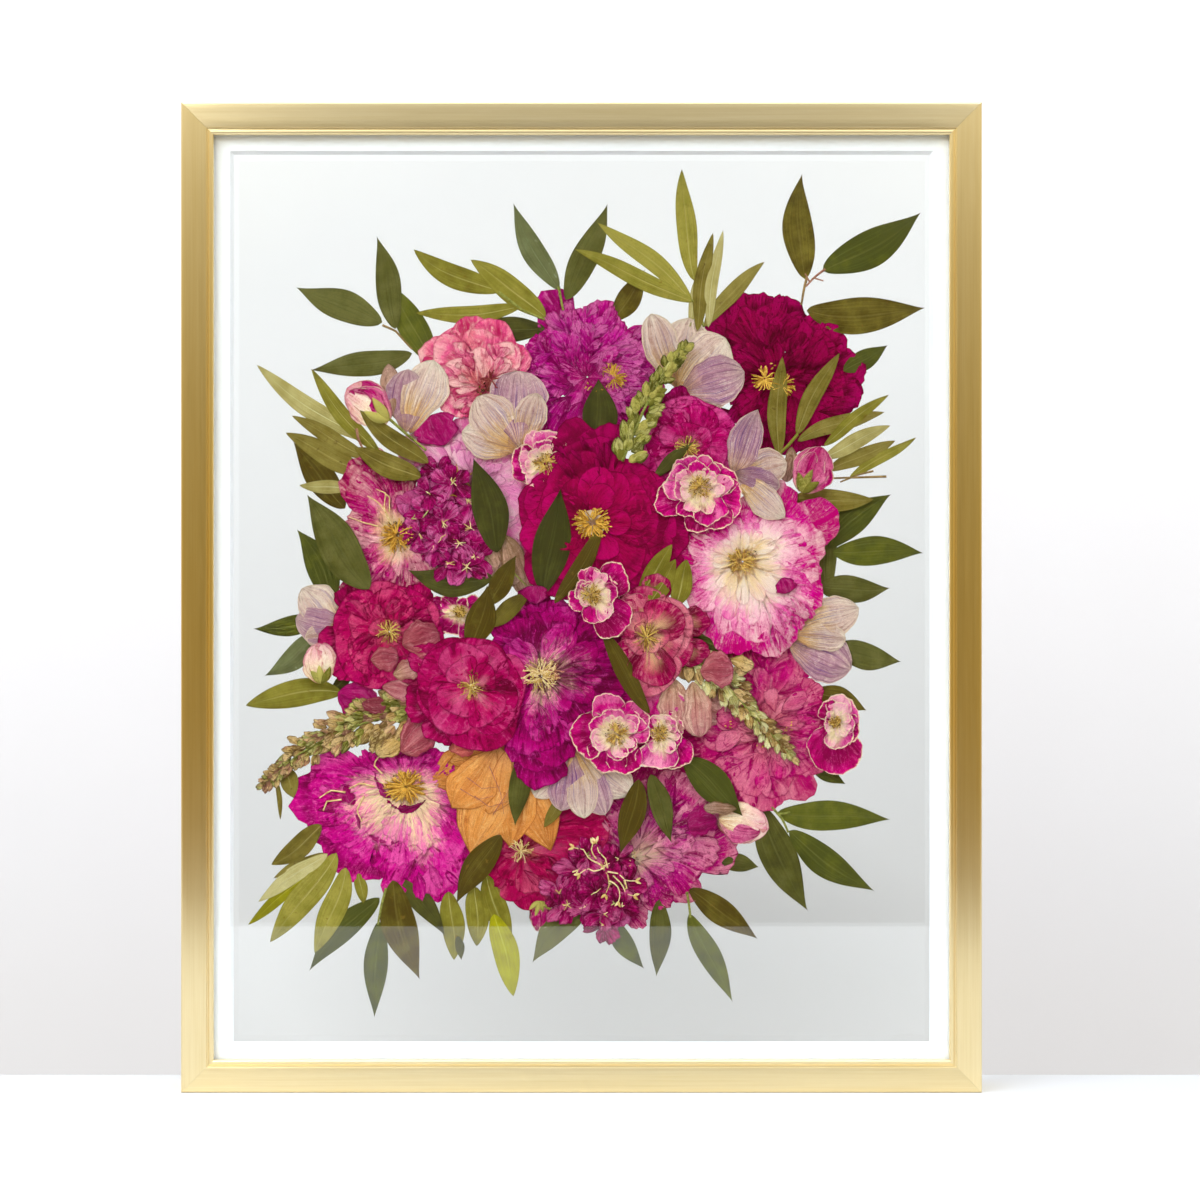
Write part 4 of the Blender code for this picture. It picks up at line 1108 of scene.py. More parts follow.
BUD_PINK = petal_skin("bud_pink_tissue",
                      ((0.0, "#FCDCA0"), (0.2, "#F4A8A8"), (0.36, "#CC3480"), (1.0, "#BC206C")),
                      "#7E0838", "#F8A4C0", by="along", wander=0.4, ribs=4, pale_share=0.6, rim="#FCE4C8",
                      rim_mm=0.5, rim_share=0.6, edge_share=0.5, vivid=1.08)
SEPAL = stem_skin("sepal_green", "#6E6A22", "#AEA454")
POD_GREEN = petal_skin("snapdragon_bud_green", ((0.0, "#9C9C38"), (0.5, "#B4AE50"), (1.0, "#D8CE78")),
                       "#565418",
                       "#E4DC94", by="along", ribs=3, dark_share=0.8, pale_share=0.6, blotch="#907C30",
                       edge_share=0.9)
POD_TAN = petal_skin("snapdragon_bud_tan", ((0.0, "#BC9A48"), (0.5, "#D8B068"), (1.0, "#ECCC8C")), "#6E4A28",
                     "#F4D49C", by="along", ribs=3, dark_share=0.8, pale_share=0.6, blotch="#ACA052",
                     edge_share=0.85)
POD_PALE = petal_skin("snapdragon_bud_pale", ((0.0, "#C8C064"), (0.5, "#E4D884"), (1.0, "#F4ECB0")),
                      "#8C8044",
                      "#FFFCCC", by="along", ribs=3, dark_share=0.6, pale_share=0.6, blotch="#C4AC60",
                      edge_share=0.6)
MAUVE_TAN = petal_skin("snapdragon_petal_faded", ((0.0, "#D8A858"), (0.5, "#CC946C"), (1.0, "#E4B47C")),
                       "#845048",
                       "#FCD8A0", by="along", ribs=4)
POLLEN = stem_skin("stamen_golden", "#A87420", "#ECBC54")
FILAMENT = stem_skin("stamen_pale", "#D0A860", "#F4DCA8")
ANTHER_BROWN = stem_skin("anther_brown", "#3E2410", "#8C6028")
ANTHER_OCHRE = stem_skin("anther_ochre", "#A07430", "#E8C468")
STAMEN_RED = stem_skin("stamen_reddish", "#94404C", "#D08C70")
STYLE_GREEN = stem_skin("style_yellow_green", "#84883C", "#D4D088")

RAGGED = {"rag": 0.07, "corner": 0.13, "ruffle": 0.4}
SMOOTH = {"rag": 0.03, "corner": 0.2, "ruffle": 0.25}
ROUND = {"rag": 0.012, "corner": 0.11, "ruffle": 0.2}


# ---------------------------------------------------------------- the large flowers, back layer to front
def purple_peony():
    f = Flower("peony_purple", (3, 385), 11, grow=1.06)
    f.bed()
    f.spill(115, -14, -35, -62, far=1.1)
    # the petals towards the upper right painted lighter and those opposite darker, as if lit from there
    f.ring(16, 0.5, 1.0, 30, (0.0, 0.15), **RAGGED, lit_side=(30, 0.25), under=0.86)
    f.ring(15, 0.36, 0.84, 32, (0.15, 0.35), **RAGGED, lit_side=(30, 0.3))
    f.scatter(70, 0.15, 0.8, (9, 17), 60, (0.35, 1.0), swing=65, rag=0.09, corner=0.25, ruffle=0.5,
              lit_side=(30, 0.35))
    f.seeds((15.5, 388), 26, 4.5, 1, y=f.front - 0.2)
    f.stamens((17, 385), 34, 2, 7, 1, thick=0.25, arc=(-110, 130))
    f.seeds((4, 380), 9, 2.0, 1)
    f.seeds((9, 379), 8, 1.8, 1)
    f.build(PURPLE, POLLEN, slot="petal_purple")


def dark_crimson_peony():
    f = Flower("peony_dark_crimson", (106, 384), 12, grow=1.03)
    f.bed()
    f.spill(0, -15, far=1.06)
    f.ring(15, 0.5, 1.0, 32, (0.0, 0.15), **RAGGED, under=0.84)
    f.ring(13, 0.34, 0.82, 36, (0.15, 0.35), **RAGGED)
    f.scatter(46, 0.12, 0.78, (10, 21), 58, (0.35, 0.9), swing=60, rag=0.06, corner=0.3, ruffle=0.45)
    f.stamens((99, 384), 34, 1, 6.5, 1, thick=0.42, head=1.3)
    f.stamens((109, 380), 34, 1, 6, 1, thick=0.42, head=1.3)
    f.edge_petals(80, ((80, 378), 195, 22), ((84, 366), 200, 22), ((92, 362), 235, 22))
    f.seeds((104, 388), 14, 5, 1, size=1.3)
    f.build(CRIMSON_DARK, POLLEN, slot="petal_crimson")


def salmon_rose():
    f = Flower("rose_salmon", (-52, 379), 13, grow=1.1)
    f.bed()
    f.ring(12, 0.32, 1.0, 46, (0.0, 0.2), rag=0.04, corner=0.18, ruffle=0.35, under=0.9)
    f.ring(10, 0.22, 0.86, 46, (0.2, 0.45), **SMOOTH, uneven=0.12, skew=14, under=0.66)
    f.ring(9, 0.12, 0.64, 48, (0.45, 0.65), **SMOOTH, uneven=0.14, skew=18)
    f.scatter(18, 0.1, 0.5, (8, 15), 50, (0.65, 0.95), swing=50, **SMOOTH)
    f.seeds((-53, 378.5), 16, 3.0, 1, size=1.2)
    f.stamens((-49, 383), 14, 1, 5, 2, thick=0.4)
    f.build(SALMON, ANTHER_BROWN, RED_PETAL, slot="petal_pink")


def lilac_peony():
    f = Flower("peony_lilac", (-62, 328), 14, grow=1.13)
    f.bed()
    f.ring(12, 0.4, 1.0, 40, (0.0, 0.2), **RAGGED, under=0.82)
    f.ring(11, 0.2, 0.8, 42, (0.2, 0.5), **RAGGED)
    f.scatter(26, 0.1, 0.7, (9, 16), 55, (0.5, 0.9), swing=60, rag=0.06, corner=0.3)
    f.edge_petals(80, ((-72, 344), 100, 20), ((-62, 344), 80, 22), ((-45, 350), 60, 22),
                  ((-40, 300), -60, 20))
    f.stamens((-66, 329), 18, 1, 8, 1, thick=0.35)
    f.build(LILAC, POLLEN, slot="petal_pale")


def deep_crimson_peony():
    f = Flower("peony_deep_crimson", (5, 306), 15, grow=1.08)
    f.bed()
    f.spill(-8, -30, -60, 96, 80, far=1.2)
    f.ring(9, 0.2, 1.0, 58, (0.0, 0.2), rag=0.03, corner=0.16, ruffle=0.3, rows=16, cols=19, under=0.84)
    f.ring(7, 0.14, 0.82, 62, (0.25, 0.45), turn=20, rag=0.025, corner=0.18, ruffle=0.3, rows=16, cols=19,
           under=0.66)
    f.ring(4, 0.12, 0.66, 58, (0.5, 0.7), arc=(20, 190), rag=0.02, corner=0.4, ruffle=0.25)
    f.scatter(12, 0.5, 0.85, (10, 18), 28, (0.7, 0.9), swing=30, arc=(45, 115), rag=0.04, corner=0.4)
    f.ring(6, 0.1, 0.5, 60, (0.7, 0.85), turn=40, rag=0.02, corner=0.42, ruffle=0.2)
    f.ring(9, 0.0, 0.16, 45, (0.9, 1.0), **SMOOTH, slot=2)
    f.stamens((5.5, 306), 95, 4.5, 10, 1, thick=0.34, head=1.4, squeeze=0.86, swirl=16)
    f.build(CRIMSON, POLLEN, TULIP_CREAM, slot="petal_crimson")


def crimson_pink_rose():
    f = Flower("rose_crimson_pink", (57, 347), 16, grow=1.08)
    f.bed()
    f.spill(105, 130, -78, far=1.2)
    f.ring(7, 0.12, 1.0, 78, (0.0, 0.3), **ROUND, uneven=0.04, skew=26, rows=18, cols=21)
    f.ring(6, 0.1, 0.84, 70, (0.35, 0.6), turn=24, **ROUND, uneven=0.12, skew=30, rows=16, cols=19)
    f.ring(5, 0.06, 0.56, 62, (0.65, 0.78), turn=50, **SMOOTH, uneven=0.2, skew=30)
    f.ring(5, 0.05, 0.34, 56, (0.8, 0.9), turn=10, **SMOOTH, uneven=0.2, skew=20)
    f.stamens((57, 346.5), 36, 1.5, 6.5, 1, thick=0.22, head=1.0)
    f.seeds((57, 346.5), 22, 6.5, 2, size=0.8)
    f.build(ROSE_PINK, ANTHER_OCHRE, ANTHER_BROWN, slot="petal_crimson")


def pink_white_peony():
    f = Flower("peony_pink_white", (87, 285), 17, grow=1.08)
    f.bed()
    f.spill(156, 175, 60, 30)
    f.ring(13, 0.3, 1.0, 40, (0.0, 0.2), rag=0.05, corner=0.16, ruffle=0.4, rows=16, under=0.92)
    f.ring(12, 0.2, 0.9, 38, (0.2, 0.4), rag=0.04, corner=0.34, ruffle=0.4, rows=15)
    f.ring(12, 0.14, 0.7, 34, (0.4, 0.6), rag=0.03, corner=0.4, ruffle=0.35)
    f.ring(14, 0.12, 0.48, 26, (0.6, 0.85), rag=0.03, corner=0.42, ruffle=0.3)
    f.scatter(10, 0.55, 0.8, (8, 15), 45, (0.6, 0.8), swing=40, arc=(-75, -25), rag=0.06)
    f.seeds((86, 284.5), 60, 6.5, 1, size=1.3, squeeze=0.85)
    f.stamens((86, 285), 40, 3.5, 8, 1, thick=0.3, squeeze=0.85)
    f.seeds((92, 288), 12, 3.2, 2, size=0.9)
    f.build(PINK_WHITE, ANTHER_OCHRE, ANTHER_BROWN, slot="petal_pale")


def cream_pink_peony():
    f = Flower("peony_cream_pink", (-99, 299), 18, grow=1.04)
    f.bed()
    f.spill(112, 240, 90)
    f.ring(12, 0.28, 1.0, 40, (0.0, 0.25), rag=0.06, corner=0.3, ruffle=0.4, rows=16)
    f.ring(11, 0.18, 0.86, 38, (0.25, 0.5), rag=0.05, corner=0.34, ruffle=0.4)
    f.ring(11, 0.12, 0.6, 34, (0.5, 0.75), rag=0.05, corner=0.36, ruffle=0.35)
    f.scatter(12, 0.2, 0.6, (9, 15), 30, (0.7, 0.9), swing=30, rag=0.05)
    f.seeds((-100, 299), 50, 6.5, 1, size=1.2)
    f.stamens((-100, 299), 42, 2, 9, 1, thick=0.32, head=1.2)
    f.seeds((-101, 303), 16, 4.0, 2, size=0.9)
    f.trails(0.45, 0.3, ((-103, 305), (-107, 314), (-106, 322), (-111, 324)),
             ((-105, 310), (-110, 317), (-116, 320.5)),
             ((-110, 304), (-118, 306), (-126, 309)), ((-104, 312), (-104, 320), (-108, 323)))
    f.build(CREAM_PINK, POLLEN, ANTHER_BROWN, FILAMENT, slot="petal_cream")


def dark_pink_rose():
    f = Flower("rose_dark_pink", (-104, 247), 19, grow=1.08)
    f.bed()
    f.spill(220, 140, 45, 190)
    f.ring(8, 0.14, 1.0, 70, (0.0, 0.3), **ROUND, uneven=0.06, skew=22, rows=18, cols=21)
    f.ring(7, 0.1, 0.8, 66, (0.35, 0.6), turn=24, **SMOOTH, uneven=0.16, skew=26, rows=16, cols=19)
    f.scatter(8, 0.1, 0.5, (10, 16), 62, (0.6, 0.8), swing=60, **SMOOTH)
    f.ring(5, 0.05, 0.32, 56, (0.82, 0.9), turn=10, **SMOOTH, uneven=0.25, skew=20)
    f.stamens((-104, 247), 34, 1, 7, 1, thick=0.2, head=0.8, swirl=50)
    f.seeds((-103, 248), 22, 4.5, 2, size=0.9)
    f.build(ROSE_DARK, ANTHER_OCHRE, STAMEN_RED, slot="petal_crimson")


def crimson_left_rose():
    f = Flower("rose_crimson_left", (-59, 217), 20, grow=1.04)
    f.bed()
    f.spill(200, 235, 150)
    f.ring(7, 0.06, 1.0, 76, (0.0, 0.3), **ROUND, uneven=0.04, skew=20, rows=18, cols=21)
    f.ring(5, 0.05, 0.88, 72, (0.35, 0.6), turn=30, **ROUND, uneven=0.1, skew=22, rows=18, cols=21)
    f.ring(4, 0.04, 0.6, 66, (0.65, 0.8), turn=70, **ROUND, uneven=0.15, skew=15)
    f.stamens((-60, 217), 26, 0.5, 6.5, 1, thick=0.22, head=0.9, swirl=55)
    f.seeds((-59, 216), 16, 3, 3, size=1.1)
    f.seeds((-58, 224), 9, 2.2, 2)
    f.build(ROSE_CRIMSON, ANTHER_OCHRE, ANTHER_BROWN, FILAMENT, slot="petal_crimson")


def violet_peony():
    f = Flower("peony_violet", (-22, 223), 21, grow=1.08)
    f.bed()
    f.spill(95, 130, -95, far=1.16)
    f.ring(12, 0.35, 1.0, 42, (0.0, 0.2), **RAGGED, rows=16, under=0.86)
    f.ring(12, 0.22, 0.84, 40, (0.2, 0.45), **RAGGED, under=0.64)
    f.ring(11, 0.12, 0.62, 38, (0.45, 0.65), rag=0.04, corner=0.32, ruffle=0.4)
    f.scatter(22, 0.15, 0.6, (8, 16), 42, (0.6, 0.9), swing=45, rag=0.05)
    f.seeds((-23, 222), 30, 5.5, 1, size=1.2)
    f.stamens((-22, 223), 60, 2, 10, 1, thick=0.24, swirl=60)
    f.stamens((-15, 226), 12, 1, 5, 2, thick=0.3)
    f.seeds((-22, 222), 26, 6, 3, size=1.1)
    f.build(VIOLET, FILAMENT, STAMEN_RED, ANTHER_OCHRE, slot="petal_purple")


def small_rose_right():
    f = Flower("rose_small_right", (35, 244), 22, grow=1.1)
    f.bed()
    f.spill(80, 20, -20)
    f.ring(7, 0.08, 1.0, 74, (0.0, 0.3), **ROUND, uneven=0.05, skew=14, rows=16, cols=19)
    f.ring(5, 0.06, 0.78, 68, (0.4, 0.7), turn=30, **ROUND, uneven=0.12, skew=18)
    f.ring(4, 0.04, 0.4, 60, (0.75, 0.85), turn=70, **SMOOTH, uneven=0.2)
    f.stamens((35, 244), 28, 1, 7, 1, thick=0.28)
    f.seeds((35, 244), 16, 3.5, 2, size=0.9)
    f.build(SMALL_ROSE, ANTHER_OCHRE, ANTHER_BROWN, slot="petal_pink")


def dusty_pink_peony():
    f = Flower("peony_dusty_pink", (100, 195), 23, grow=1.07)
    f.bed()
    f.spill(186, 200, 100, 120, 248)
    f.ring(13, 0.45, 1.0, 38, (0.0, 0.15), rag=0.05, corner=0.26, ruffle=0.3)
    f.ring(12, 0.3, 0.84, 40, (0.15, 0.4), rag=0.04, corner=0.3, ruffle=0.3)
    f.scatter(34, 0.1, 0.7, (10, 20), 60, (0.4, 0.85), swing=70, rag=0.04, corner=0.32)
    for at in ((97, 186), (112, 196), (79, 197)):
        f.seeds(at, 7, 2.4, 1)
    f.build(DUSTY, POLLEN, slot="petal_pink")


def large_magenta_peony():
    f = Flower("peony_large_magenta", (-96, 162), 24, grow=1.04)
    f.bed()
    f.ring(14, 0.34, 1.0, 40, (0.0, 0.2), **RAGGED, rows=16, cols=17, under=0.88)
    f.ring(13, 0.22, 0.86, 38, (0.2, 0.45), **RAGGED, rows=14)
    f.ring(12, 0.12, 0.62, 34, (0.45, 0.65), rag=0.05, corner=0.3, ruffle=0.4)
    f.scatter(34, 0.2, 0.72, (9, 19), 44, (0.6, 0.85), swing=45, rag=0.07)
    f.ring(16, 0.1, 0.5, 24, (0.66, 0.8), rag=0.05, corner=0.3, ruffle=0.5, arc=(150, 400))
    # petals curled over on themselves above the heart
    for tip, base, width, bend in (((-84, 156), (-109, 161), 7, -8), ((-99, 133), (-122, 150), 10, -6),
                                   ((-104, 142), (-129, 163), 12, -3),
                                   ((-112, 172), (-103, 157), 6, 3), ((-120, 140), (-137, 152), 9, 4),
                                   ((-143, 150), (-128, 166), 9, 5)):
        blade(f.sheets, f.rng, tip, base, width, f.depth(0.9), bend=bend, widest=0.45, blunt=0.5, point=0.7,
              fold=0.9, wave=0.4,
              slot=4, rows=24, cols=11, rag=0.1, heart=0.5)
    f.seeds((-95, 164), 60, 8.0, 1, size=1.3, squeeze=0.8)
    f.stamens((-95, 163), 60, 2, 12, 1, thick=0.4, squeeze=0.8)
    f.seeds((-97, 167), 22, 5.5, 2, size=1.0, squeeze=0.7)
    f.trails(0.55, 0.35, ((-128, 160), (-136, 161), (-142, 157)), ((-130, 156), (-138, 155), (-140, 150)),
             ((-112, 163), (-120, 165), (-126, 162)), ((-108, 170), (-113, 175), (-110, 179)),
             ((-118, 158), (-122, 150), (-119, 144)))
    f.build(MAGENTA, POLLEN, ANTHER_BROWN, FILAMENT, MAGENTA_LOOSE, slot="petal_purple")


def low_crimson_flower():
    f = Flower("flower_crimson_low", (-33, 128), 25, grow=1.1)
    f.bed()
    f.spill(95, -70, 150)
    f.ring(9, 0.08, 1.0, 60, (0.0, 0.3), **SMOOTH, uneven=0.08, skew=12, rows=16, cols=19)
    f.ring(6, 0.06, 0.74, 56, (0.4, 0.7), turn=30, **SMOOTH, uneven=0.16, skew=15)
    f.scatter(12, 0.1, 0.6, (8, 15), 50, (0.6, 0.9), swing=50, rag=0.04)
    f.stamens((-33, 128), 26, 0.5, 6.5, 1, thick=0.2, swirl=60)
    f.build(CRIMSON_LOW, FILAMENT, slot="petal_crimson")


def streaked_peony():
    f = Flower("peony_streaked_low", (28, 124), 26, grow=1.08)
    f.bed()
    f.spill(80, 110, 240, 57)
    f.ring(13, 0.35, 1.0, 36, (0.0, 0.2), **RAGGED, rows=15, under=0.84)
    f.ring(12, 0.2, 0.82, 34, (0.2, 0.5), **RAGGED)
    f.ring(11, 0.1, 0.58, 30, (0.5, 0.75), rag=0.05, corner=0.3, ruffle=0.4)
    f.scatter(16, 0.15, 0.6, (8, 16), 36, (0.7, 0.9), swing=30, rag=0.06)
    f.edge_petals(75, ((26, 148), 95, 26), ((38, 148), 75, 26), ((50, 146), 55, 24), ((22, 104), -60, 20))
    f.seeds((27, 125), 18, 4.5, 1)
    f.build(STREAKED, FILAMENT, slot="petal_pale")


# ---------------------------------------------------------------- stocks: short spikes of crumpled florets
def floret(sheets, rng, at, size, y, heart_slot):
    """A small crumpled floret of five petals, with a few pale styles at its heart."""
    turn = rng.uniform(0, 360)
    for i in range(5):
        petal(sheets, rng, at, turn + i * 72 + rng.uniform(-14, 14), size * rng.uniform(0.95, 1.35),
              rng.uniform(70, 96), y - rng.uniform(0, 0.3), rag=0.09, corner=0.3, ruffle=0.7)
    for _ in range(6 if size > 9.5 else 2):
        tip = away(at, rng.uniform(0.14, 0.36) * size, rng.uniform(0, 360))
        thread(sheets, (at, ((at[0] + tip[0]) / 2 + rng.uniform(-0.6, 0.6), (at[1] + tip[1]) / 2), tip),
               0.34, y - 0.6 - rng.uniform(0, 0.3), slot=heart_slot, end=0.2, tone=rng.uniform(0, 1))


def stock_spike(node, florets, seed, skin, hearts, slot, sprig=()):
    """Florets overlapping in a CAD solid's outline: rows of (x, z, size, heart slot); sprig is the paths of
    pale stamens lying loose on them."""
    rng = np.random.default_rng(seed)
    sheets = Sheets()
    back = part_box(node)[1].y / MM - 0.1
    middle = tuple(np.mean([row[:2] for row in florets], axis=0))
    reach = outline_reach(node, middle)
    for angle in range(0, 360, 36):
        petal(sheets, rng, middle, angle, float(reach(angle)) * rng.uniform(0.92, 1.06), 70, back + 0.1,
              rag=0.05, corner=0.2,
              ruffle=0.5, slot=len(hearts) + 1)
    for i, (x, z, size, heart) in enumerate(florets):
        floret(sheets, rng, (x, z), size, back - 0.1 - 0.9 * i / len(florets), heart)
    for path in sprig:
        thread(sheets, path, 0.5, back - 1.25, slot=1, end=0.25, tone=rng.uniform(0.3, 1.0))
        turn = math.degrees(math.atan2(path[-1][1] - path[-2][1], path[-1][0] - path[-2][0]))
        for side in (-26, 30):
            pod(sheets, rng, path[-1], turn + side, 3.6, 1.5, back - 1.3, slot=1, rows=8, cols=9)
    sheets.build("pressed_" + node, (skin, *hearts, MAGENTA_LOOSE), node, slot)


# ---------------------------------------------------------------- spray roses, tulips, buds and spikes
def spray_rose(node, at, seed, count=7, heart_mm=5.5, pink=(), turn=0.0, inner=True):
    f = Flower(node, at, seed, grow=1.08)
    f.bed(5)
    rng = f.rng
    look = {"corner": 0.15, "rag": 0.04, "ruffle": 0.55, "lip": 0.5, "heart": f.out}
    for rows, near, far, wide, depth in ((1, 0.96, 1.05, 1.75, 0.1), (inner, 0.62, 0.84, 1.5, 0.45)):
        for i in range(count if rows else 0):
            angle = turn + (i + 0.5 * (depth > 0.2) + rng.uniform(-0.22, 0.22)) * 360 / count
            skin = 3 if i in pink or (depth > 0.2 and i % 3 == 0) else 0
            petal(f.sheets, rng, at, angle, float(f.reach(angle)) * rng.uniform(near, far),
                  360 / count * wide * rng.uniform(0.85, 1.15),
                  f.depth(depth + 0.2 * (i % 2)), slot=skin, rows=18, cols=23,
                  under=0.76 if depth < 0.2 else 0.36, **look)
    if inner:
        f.ring(7, 0.14, 0.56, 42, (0.7, 0.76), rag=0.05, corner=0.2, ruffle=0.6, lip=0.5, slot=3, turn=turn,
               uneven=0.2)
    f.ring(8, 0.0, 0.34, 30, (0.8, 0.88), rag=0.04, corner=0.3, ruffle=0.4, slot=3)
    f.stamens(at, 34, heart_mm * 0.3, heart_mm * 1.1, 1, thick=0.2, head=0.9)
    f.seeds(at, 40, heart_mm * 0.85, 1, size=1.1)
    f.seeds(at, 24, heart_mm, 2, size=0.75, y=f.front - 0.75)
    f.build(SPRAY, ANTHER_OCHRE, ANTHER_BROWN, SPRAY_PINK, slot="petal_pink")


# ---------------------------------------------------------------- tulip, lily and loose petals, buds
def broad_petals(node, rows, seed, skins, slot, scratches=()):
    """Separate pointed or rounded petals: rows of (base, tip, width, skin, widest, point, tone); the first
    lies deepest."""
    rng = np.random.default_rng(seed)
    sheets = Sheets()
    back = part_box(node)[1].y / MM - 0.15
    for i, (base, tip, width, skin, widest, point, tone) in enumerate(rows):
        blade(sheets, rng, tip, base, width * 1.18, back - 0.2 - 0.9 * i / max(len(rows), 1), widest=widest,
              blunt=0.55,
              point=point, fold=0.1, wave=0.3, tone=tone, slot=skin, rows=30, cols=19, heart=0.5, rag=0.05)
    for path in scratches:
        thread(sheets, path, 0.22, back - 1.35, slot=len(skins), end=0.1)
    sheets.build("pressed_" + node, (*skins, STAMEN_RED) if scratches else skins, node, slot)


def closed_bud(node, base, turn, length, width, skins, seed, slot, sepals=3, petals=6):
    """A pressed bud: overlapping petals closing towards the tip, sepals round its foot."""
    rng = np.random.default_rng(seed)
    sheets = Sheets()
    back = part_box(node)[1].y / MM - 0.15
    ahead = (math.cos(math.radians(turn)), math.sin(math.radians(turn)))
    for i in range(petals):
        # widest petals at the back, then the outer ones to either side, the last over the middle
        lean = 0.0 if i in (0, petals - 1) else (-1) ** i * (0.26 - 0.03 * i)
        wide = 0.95 if i == 0 else rng.uniform(0.5, 0.66)
        reach = length * (1.0 if i == 0 else rng.uniform(0.82, 1.0))
        root = (base[0] - ahead[1] * lean * width * 0.4, base[1] + ahead[0] * lean * width * 0.4)
        tip = (base[0] + reach * ahead[0] - ahead[1] * lean * width * 0.9,
               base[1] + reach * ahead[1] + ahead[0] * lean * width * 0.9)
        blade(sheets, rng, tip, root, width * wide, back - 0.1 - 0.85 * i / petals, bend=lean * width * 0.5,
              widest=0.56,
              blunt=0.5, point=0.55, fold=0.6, wave=0.4, tone=rng.uniform(0.3, 0.9), slot=i % 2, rows=24,
              cols=17, heart=0.5, rag=0.07)
    for i in range(sepals):
        swing = (i - (sepals - 1) / 2) * 34
        pod(sheets, rng, base, turn + swing, length * rng.uniform(0.34, 0.55), width * 0.24, back - 1.1,
            slot=2)
    sheets.build("pressed_" + node, skins, node, slot)


def snapdragon(node, path, seed, size, skins, breadth, count=60, thin=0.6, papery=0.3):
    """A spike of overlapping buds round its stalk, largest at the foot: path runs from foot to tip, breadth
    is its width at the foot and the tip, papery the share of opened, crumpled buds."""
    rng = np.random.default_rng(seed)
    sheets = Sheets()
    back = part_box(node)[1].y / MM - 0.2
    path = np.array(path, float)
    steps = np.concatenate([[0], np.cumsum(np.hypot(*np.diff(path, axis=0).T))])
    thread(sheets, path, 1.1, back - 0.5, slot=len(skins), end=0.5)
    for i in range(count):
        share = i / count
        s = steps[-1] * share
        x, z = np.interp(s, steps, path[:, 0]), np.interp(s, steps, path[:, 1])
        ahead = min(s + 4, steps[-1])
        turn = math.degrees(math.atan2(np.interp(ahead, steps, path[:, 1]) - z,
                                       np.interp(ahead, steps, path[:, 0]) - x + 1e-6))
        side = (-1) ** i * rng.uniform(0.05, 1.0)
        wide = breadth[0] + (breadth[1] - breadth[0]) * share
        off = side * max(0.0, wide / 2 - size * 0.45)
        at = (x - off * math.sin(math.radians(turn)), z + off * math.cos(math.radians(turn)))
        big = size * (1 - (1 - thin) * share) * rng.uniform(0.8, 1.15)
        skin = int(rng.choice(len(skins), p=(0.6, 0.4) if len(skins) == 2 else (0.45, 0.3, 0.25)))
        level = back - 0.3 - 0.6 * rng.uniform(0, 1)
        if rng.uniform(0, 1) < papery:
            petal(sheets, rng, at, turn + side * 50, big * 1.15, rng.uniform(55, 85), level - 0.3, rag=0.12,
                  corner=0.35, ruffle=0.8,
                  slot=skin, rows=10, cols=13)
        else:
            pod(sheets, rng, at, turn + side * 48, big, big * 0.62, level, slot=skin, thick=0.34, rows=10,
                cols=12, ridge=0.2)
    sheets.build("pressed_" + node, (*skins, STALK_GREEN), node, "bud_green")


purple_peony()
dark_crimson_peony()
salmon_rose()
lilac_peony()
deep_crimson_peony()
crimson_pink_rose()
pink_white_peony()
cream_pink_peony()
dark_pink_rose()
crimson_left_rose()
violet_peony()
small_rose_right()
dusty_pink_peony()
large_magenta_peony()
low_crimson_flower()
streaked_peony()

stock_spike("stock_left", ((-78, 334, 9, 1), (-62, 318, 12, 2), (-92, 308, 9, 1), (-60, 303, 13, 2),
                           (-88, 300, 9, 2),
                           (-72, 284, 10, 2), (-58, 288, 11, 2), (-80, 292, 9, 2), (-70, 321, 8, 3),
                           (-84, 311, 9, 1),
                           (-83, 322, 8, 2), (-66, 295, 11, 2), (-75, 306, 10, 2), (-76, 298, 9, 2),
                           (-70, 328, 10, 2),
                           (-62, 282, 10, 2)),
            31, STOCK, (STYLE_GREEN, FILAMENT, POLLEN), "petal_crimson")
stock_spike("stock_low", ((-8, 99, 10, 1), (-12, 105, 9, 1), (2, 98, 10, 1), (12, 88, 9, 1), (24, 110, 10, 1),
                          (12, 120, 10, 1), (-2, 118, 10, 1), (20, 124, 9, 1), (12, 94, 9, 1), (22, 98, 8, 1),
                          (8, 106, 9, 1),
                          (3, 126, 9, 2), (16, 110, 8, 2), (18, 100, 7, 2)),
            32, STOCK_PURPLE, (FILAMENT, STYLE_GREEN), "petal_purple",
            (((10, 121), (4, 124), (1, 129), (-4, 130)), ((14, 119), (13, 124), (9, 128), (8, 133)),
             ((12, 119), (7, 117), (3, 119), (-1, 116)),
             ((10, 121), (14, 116), (15, 110), (13, 105)), ((14, 117), (20, 116), (24, 112), (29, 112)),
             ((15, 112), (19, 110), (21, 105), (20, 101)),
             ((8, 124), (5, 128), (6, 132)), ((17, 115), (22, 110), (24, 105), (28, 104))))

spray_rose("spray_rose_a", (-20, 338), 41, count=6, turn=10, pink=(1, 2))
spray_rose("spray_rose_b", (64, 325), 42, count=7, turn=15, pink=(2, 3), heart_mm=6)
spray_rose("spray_rose_c", (5, 267), 43, count=6, turn=30, pink=(2,))
spray_rose("spray_rose_d", (19, 192), 44, count=6, turn=0, heart_mm=6)
spray_rose("spray_rose_e", (42, 192), 45, count=5, turn=20, heart_mm=4.5)
spray_rose("spray_rose_f", (137, 198), 46, count=5, turn=40, heart_mm=3, pink=(0, 2))
spray_rose("spray_rose_g", (-66, 258), 47, count=6, turn=10, heart_mm=3, inner=False)

